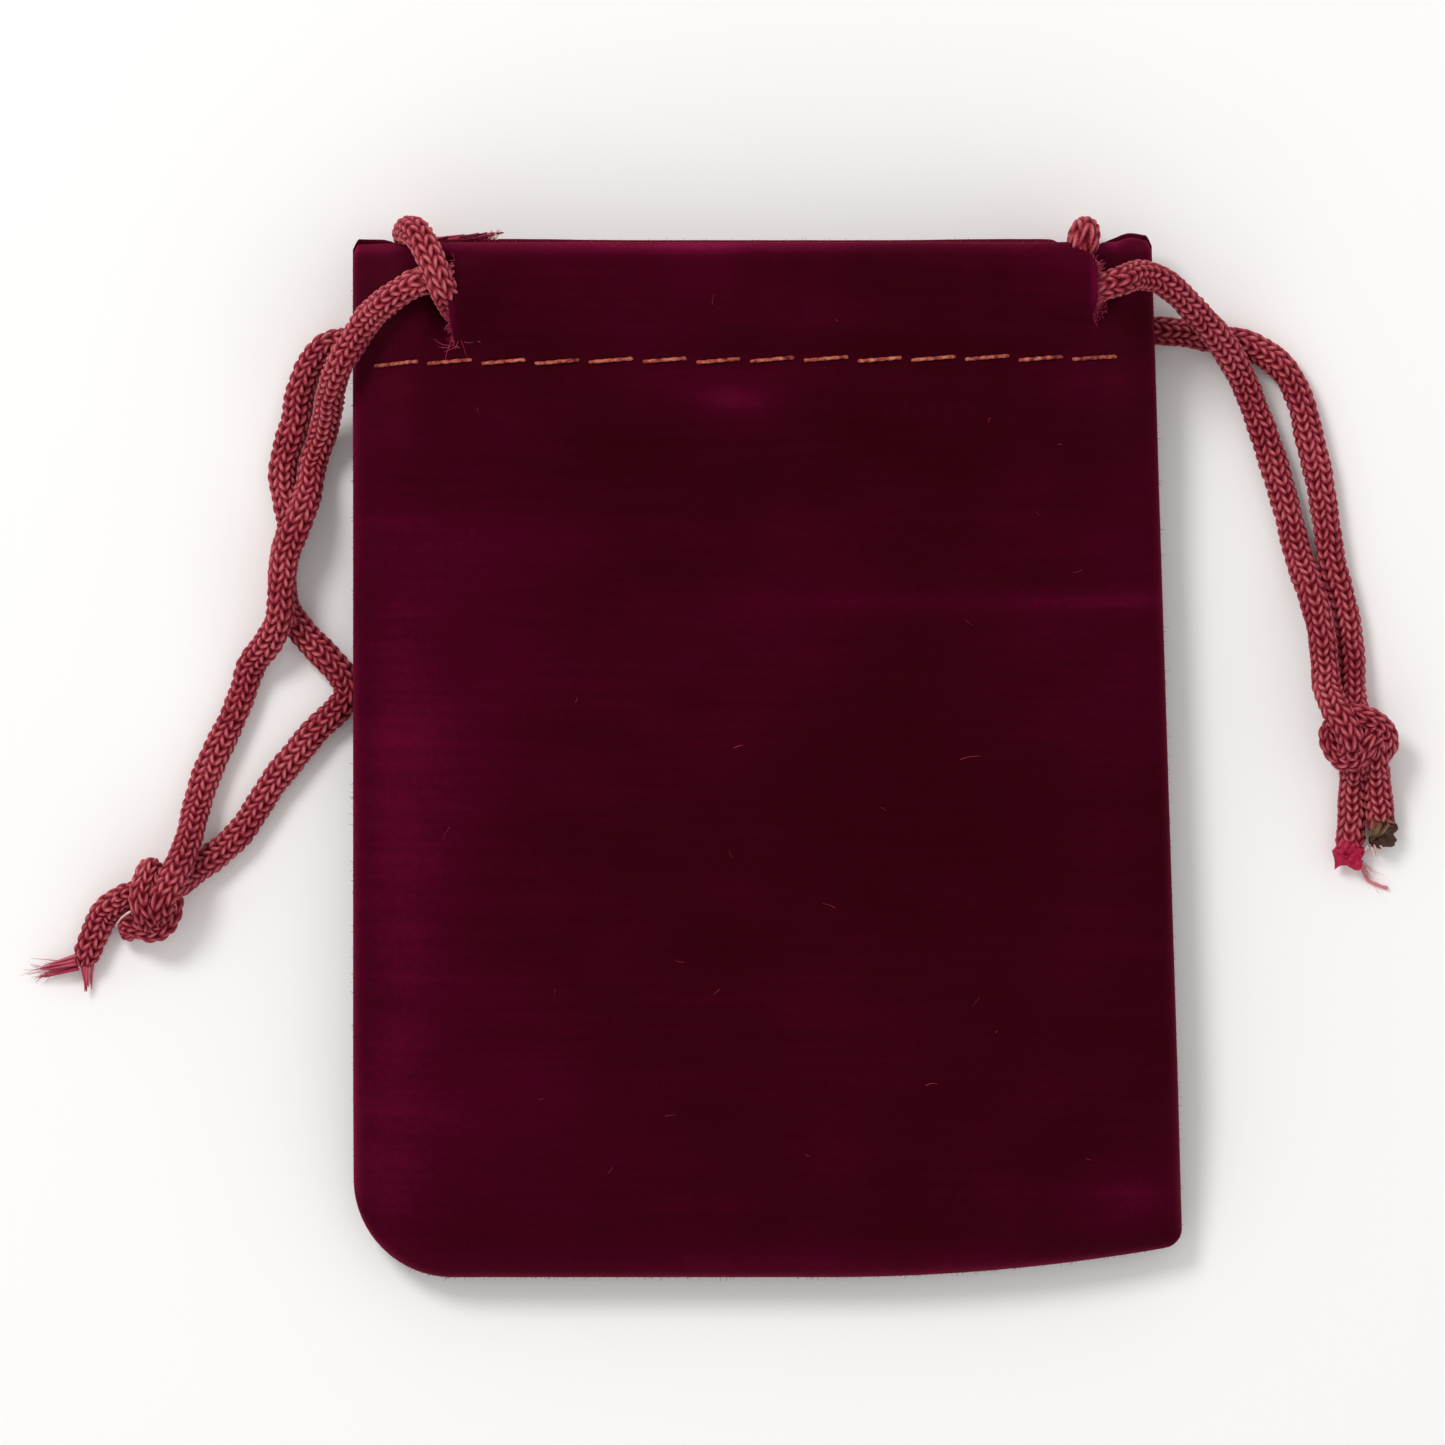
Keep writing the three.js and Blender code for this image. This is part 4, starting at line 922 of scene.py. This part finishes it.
STITCH_PITCH = 4.6
STITCH = 3.4
THREAD = 0.31
THREAD_TURN = 7.0  # radians of ply twist for each millimetre
STITCH_TILT = 0.13  # each stitch climbs this much either side of its middle
HEM_THROUGH = 2 * FABRIC + LAYER_GAP


def fine_thread(points, diameter, sides=8, step=0.16, taper=0.0, ply=0.14):
    """Points and faces of a thin twisted thread. taper thins its far end."""
    route, length = smooth_route(points, step)
    side, up = frames_along(route)
    along = np.linspace(0, 1, len(route))[:, None]
    angle = 2 * math.pi * np.arange(sides)[None, :] / sides
    radius = diameter / 2 * (1 + ply * np.cos(2 * angle - THREAD_TURN * length * along)) * (1 - taper * along)
    rings = (route[:, None, :] + (radius * np.cos(angle))[..., None] * side[:, None, :]
             + (radius * np.sin(angle))[..., None] * up[:, None, :])
    return np.concatenate([rings.reshape(-1, 3), route[:1], route[-1:]]), tube_faces(len(route), sides)


# Salmon spun-polyester sewing thread: matt, each ply a little lighter along its top, dull where it has worn.
WORN_PATCH = 0.5
salmon_thread, tree = new_material("salmon_sewing_thread")
place = add_node(tree, "ShaderNodeTexCoord").outputs["Object"]
worn_noise = add_node(tree, "ShaderNodeTexNoise", values={"Scale": 1 / (WORN_PATCH * MM), "Detail": 3.0},
                      links={"Vector": place})
thread_colour = add_node(tree, "ShaderNodeValToRGB", links={"Fac": worn_noise.outputs["Fac"]},
                         stops=((0.34, "#5e1a24"), (0.5, "#a64a3a"), (0.66, "#c4745a")))
salmon_face = add_node(tree, "ShaderNodeBsdfPrincipled", links={"Base Color": thread_colour.outputs[0]},
                       values={"Roughness": 0.75, "Specular IOR Level": 0.2})
add_node(tree, "ShaderNodeOutputMaterial", links={"Surface": salmon_face.outputs[0]})

# The seams' own thread: the same spun polyester dyed dark red, all but lost between the panels.
dark_thread, tree = new_material("dark_red_sewing_thread")
dark_face = add_node(tree, "ShaderNodeBsdfPrincipled", values={
    "Base Color": to_linear("#6e0f2e"), "Roughness": 0.75, "Specular IOR Level": 0.2})
add_node(tree, "ShaderNodeOutputMaterial", links={"Surface": dark_face.outputs[0]})

STITCH_INSET = 2.2  # from the side seams to the row's ends
ONE_STITCH = (  # along the stitch, above the cloth, and the share of the tilt, from one dive to the next
    (-0.6, -HEM_THROUGH - 0.1, 0), (-0.3, -HEM_THROUGH / 2, -0.8), (0, 0.05, -1), (0.4, 0.14, -0.8),
    (STITCH / 2, 0.16, 0), (STITCH - 0.4, 0.14, 0.8), (STITCH, 0.05, 1),
    (STITCH + 0.3, -HEM_THROUGH / 2, 0.8),
)
row_end = LEFT + width_at(STITCH_Y) - STITCH_INSET - STITCH
stitch_starts = np.arange(LEFT + STITCH_INSET, row_end + 0.01, STITCH_PITCH)
middle_start = next(i for i, start in enumerate(stitch_starts) if start + STITCH > 0)
for is_front, node in ((True, "front_channel_thread"), (False, "back_channel_thread")):
    for side in (-1, 1):
        starts = stitch_starts[:middle_start] if side < 0 else stitch_starts[middle_start:]
        face, out = (front_face, 1) if is_front else (back_face, -1)
        route = []
        for start in starts:
            for step_x, lift, climb in ONE_STITCH:
                x = start + step_x
                y = STITCH_Y + 0.25 * x / MOUTH_WIDTH * 2 + STITCH_TILT * climb + 0.06 * math.sin(start * 2.3)
                z = float(face(x, y) + out * (handling_waves(x, y) + lift))
                route.append((x, y, z))
        thread = joined(f"{node}_{SIDE_NAME[side]}", [fine_thread(route, THREAD)], salmon_thread)
        gather(thread)
        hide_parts(node)


def seam_height(x, y):
    """Halfway between the two panels."""
    return float(front_face(x, y) + back_face(x, y)) / 2


SEAM_INSET = 1.0
SEAM_TOP_Y = FRONT_TOP - 3.4
for side in (-1, 1):
    if side < 0:
        route = [(LEFT + SEAM_INSET, y) for y in np.linspace(SEAM_TOP_Y, BOTTOM + ROUND_CORNER, 60)]
        for turn in np.linspace(math.pi, 1.5 * math.pi, 12)[1:]:
            route.append((LEFT + ROUND_CORNER + (ROUND_CORNER - SEAM_INSET) * math.cos(turn),
                          BOTTOM + ROUND_CORNER + (ROUND_CORNER - SEAM_INSET) * math.sin(turn)))
        route += [(x, bottom_at(x) + SEAM_INSET) for x in np.linspace(LEFT + ROUND_CORNER, 0, 20)[1:]]
    else:
        right = LEFT + BOTTOM_WIDTH - 2.2
        route = [(x, bottom_at(x) + SEAM_INSET) for x in np.linspace(0, right - 0.6, 28)]
        for y in np.linspace(bottom_at(right) + SEAM_INSET + 1.6, SEAM_TOP_Y, 70):
            route.append((LEFT + width_at(y) - SEAM_INSET, y))
    seam = [(x, y, seam_height(x, y) + 0.12 * (-1) ** i) for i, (x, y) in enumerate(route)]
    thread = joined(f"seam_thread_{SIDE_NAME[side]}", [fine_thread(seam, THREAD, step=0.3)], dark_thread)
    gather(thread)
    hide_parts("seam_thread")

# ---- Loose fibres.
# Worn pile along the pouch's edges and round its cut slits, a torn raw end of hem at the left of the mouth,
# specks of lint on the front, and the fray of the cords' ends. Single polyester fibres and small bundles.

# One dyed fibre, from the velvet's dark red at 0, by the cord's melted crimson, to undyed white at 1.
loose_fibre, tree = new_material("loose_polyester_fibre")
pale = add_node(tree, "ShaderNodeAttribute", {"attribute_name": "pale"}).outputs["Fac"]
fibre_colour = add_node(tree, "ShaderNodeValToRGB", links={"Fac": pale}, stops=(
    (0.0, "#4e0a22"), (0.25, "#86203c"), (0.45, "#b0284c"), (0.7, "#d8848e"), (1.0, "#f0e0da")))
fibre_face = add_node(tree, "ShaderNodeBsdfPrincipled", values={"Roughness": 0.6, "Specular IOR Level": 0.25},
                      links={"Base Color": fibre_colour.outputs[0]})
add_node(tree, "ShaderNodeOutputMaterial", links={"Surface": fibre_face.outputs[0]})

rng = np.random.default_rng(41)


def fibre(start, along, length, diameter, pale, curl=0.35, taper=0.6):
    """One curved fibre from a point: its thread and how pale it is."""
    along = np.array(along, float) / np.linalg.norm(along)
    bend = rng.normal(0, curl * length, 3)
    points = [np.array(start) + along * length * t + bend * t * t for t in (0, 0.35, 0.7, 1)]
    return fine_thread(points, diameter, sides=4, step=length / 5, taper=taper, ply=0), pale


def fibres(name, strands):
    """One piece from many fibres."""
    piece = joined(name, [thread for thread, pale in strands], loose_fibre)
    values = np.concatenate([np.full(len(thread[0]), pale) for thread, pale in strands]).astype(np.float32)
    piece.data.attributes.new("pale", "FLOAT", "POINT").data.foreach_set("value", values)
    return piece


HAIR = 0.035  # thickness of one hair of pile
LINT = 0.045
YARN_END = 0.06
for side in (-1, 1):
    fuzz = []
    # Hairs of pile along the side seam, the bottom seam and the mouth's fold.
    for y in rng.uniform(BOTTOM + (8 if side < 0 else 4), BACK_TOP - 2.5, 260):
        x = LEFT if side < 0 else LEFT + width_at(y)
        z = seam_height(x, y) + rng.uniform(-0.9, 0.9)
        fuzz.append(fibre((x - 0.15 * side, y, z), (side, rng.normal(0, 0.8), rng.normal(0, 0.3)),
                          rng.uniform(0.15, 0.36), HAIR, rng.uniform(0.0, 0.25)))
    for x in side * rng.uniform(0.5, 33, 260):
        y = float(bottom_at(x))
        z = seam_height(x, y) + rng.uniform(-0.8, 0.8)
        fuzz.append(fibre((x, y + 0.15, z), (rng.normal(0, 0.8), -1, rng.normal(0, 0.3)),
                          rng.uniform(0.15, 0.36), HAIR, rng.uniform(0.0, 0.25)))
    for x in side * rng.uniform(0.5, 32, 220):
        z = float(front_face(x, FRONT_TOP - 2)) - FABRIC - CHANNEL / 2 + rng.uniform(-1.2, 1.6)
        fuzz.append(fibre((x, FRONT_TOP - 0.15, z), (rng.normal(0, 0.8), 1, rng.normal(0, 0.4)),
                          rng.uniform(0.15, 0.36), HAIR, rng.uniform(0.05, 0.4)))

    # Cut ends along the slit's lifted edge, and the frayed place at its foot.
    low, high = (BACK_TOP + end for end in SLIT_ENDS[side])
    for y in rng.uniform(low, min(high, BACK_TOP - 2), 120):
        opening = float(slit_open(y, side))
        x = slit_line(side, y) + LIP_SHIFT * side * opening
        z = float(front_face(x, y)) + LIP * opening
        start = (x, y, z - rng.uniform(0, 0.5))
        fuzz.append(fibre(start, (side * 0.8, rng.normal(0, 0.9), rng.normal(0.2, 0.3)),
                          rng.uniform(0.25, 0.7), LINT, rng.uniform(0.25, 0.6)))
    fray_x, fray_y = (LEFT + 9.1, BACK_TOP - 8.9) if side < 0 else (RIGHT_TOP - 4.9, BACK_TOP - 5.6)
    spread_x, spread_y = (0.3, 0.5) if side < 0 else (0.55, 0.7)
    shortest, longest = (0.7, 1.8) if side < 0 else (0.25, 0.7)
    for _ in range(14 if side < 0 else 60):
        x, y = fray_x + rng.normal(0, spread_x), fray_y + rng.normal(0, spread_y)
        z = float(front_face(x, y)) + 0.05
        fuzz.append(fibre((x, y, z), (rng.normal(0, 1), rng.normal(-0.4, 1), 0.15),
                          rng.uniform(shortest, longest), YARN_END, rng.uniform(0.3, 0.6), curl=0.3))

    # Lint on the front.
    for x, y in ((-3.1, 0.9),) if side < 0 else ((16.4, -0.1), (13.4, -28.1)):
        z = float(front_face(x, y) + handling_waves(x, y)) + 0.12
        fuzz.append(fibre((x, y, z), (1, 0.6, 0), 1.3, YARN_END, 0.42, curl=0.25))
    for _ in range(12):
        x, y = side * rng.uniform(3, 30), rng.uniform(BOTTOM + 6, STITCH_Y + 6)
        z = float(front_face(x, y) + handling_waves(x, y)) + 0.1
        fuzz.append(fibre((x, y, z), (rng.normal(), rng.normal(), 0), rng.uniform(0.3, 1.0), LINT,
                          rng.uniform(0.15, 0.45), curl=0.3))

    # The torn raw end of the hem, a ragged ribbon of yarn with pale broken ends.
    if side < 0:
        for _ in range(60):
            start = rng.uniform(0, 1)
            x, y = mix(-29.4, -25.2, start), BACK_TOP - 0.25 + 0.3 * start + rng.normal(0, 0.12)
            fuzz.append(fibre((x, y, rng.uniform(4.9, 6.1)), (1, 0.16 + rng.normal(0, 0.05), 0.05),
                              rng.uniform(1.2, 2.4), 0.24, rng.uniform(0.05, 0.4), curl=0.03))
        for _ in range(26):
            start = (-24.2 + rng.normal(0, 0.2), BACK_TOP + rng.uniform(-0.5, 0.6), rng.uniform(4.9, 6.1))
            fuzz.append(fibre(start, (1, 0.5 + rng.normal(0, 0.5), 0.1), rng.uniform(0.4, 1.1), 0.12,
                              rng.uniform(0.5, 1.0), curl=0.15))
    gather(fibres(f"velvet_fuzz_{SIDE_NAME[side]}", fuzz))

# The left cord's long end has come undone into two tufts of yarn, with thin filaments past them.
tail_end = LEFT_CORNER + np.array(LEFT_LONG_TAIL[-1])
fray = []
for _ in range(22):
    start = tail_end + (rng.normal(-0.5, 0.3), rng.normal(0.6, 0.35), rng.uniform(-0.8, 0.5))
    fray.append(fibre(start, (-1, -0.28 + rng.normal(0, 0.07), -0.12), rng.uniform(2.2, 3.4), 0.36,
                      rng.uniform(0.4, 0.62), curl=0.05, taper=0.85))
for _ in range(30):
    start = tail_end + (rng.normal(-1.6, 0.5), rng.normal(0.2, 0.25), rng.uniform(-0.9, 0.0))
    fray.append(fibre(start, (-1, -0.2 + rng.normal(0, 0.18), -0.08), rng.uniform(1.6, 3.4), 0.07,
                      rng.uniform(0.4, 0.6), curl=0.12))
for _ in range(18):
    start = tail_end + (rng.normal(0.25, 0.3), rng.normal(0.3, 0.25), rng.uniform(-0.7, 0.4))
    fray.append(fibre(start, (0.12 - 0.25 * (start[0] - tail_end[0]), -1, -0.25), rng.uniform(1.5, 2.3), 0.4,
                      rng.uniform(0.34, 0.58), curl=0.04, taper=0.85))
pale_thread = at(LEFT_CORNER, [(-18.7, -57.7, 4.2), (-19.3, -58.0, 4.0), (-20.0, -58.5, 3.1),
                               (-20.6, -59.3, 1.6)])
fray.append((fine_thread(pale_thread, 0.2), 0.85))
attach(fibres("left_fray", fray), "left_drawstring_end")

# The right cord's red end trails one pink yarn, and its burnt end shows a few white filaments.
fray = []
pink_thread = at(RIGHT_CORNER, [(18.3, -53.6, 0.8), (18.5, -54.6, 0.5), (18.9, -55.3, 0.3),
                                (19.7, -55.7, 0.25), (20.6, -56.0, 0.25)])
fray.append((fine_thread(pink_thread, 0.3), 0.66))
for _ in range(12):
    start = RIGHT_CORNER + (18.4 + rng.normal(0, 0.1), -54.0 + rng.normal(0, 0.3), 0.5)
    fray.append(fibre(start, (rng.normal(0.8, 0.3), -1, -0.1), rng.uniform(0.8, 2.0), YARN_END,
                      rng.uniform(0.55, 0.75)))
for _ in range(16):
    start = RIGHT_CORNER + (19.2 + rng.normal(0, 0.3), -52.4 + rng.normal(0, 0.2), rng.uniform(0.5, 2.2))
    fray.append(fibre(start, (rng.normal(0.2, 0.5), -1, -0.2), rng.uniform(0.3, 0.8), 0.22,
                      rng.uniform(0.8, 1.0), curl=0.2))
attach(fibres("right_fray", fray), "right_drawstring_end")
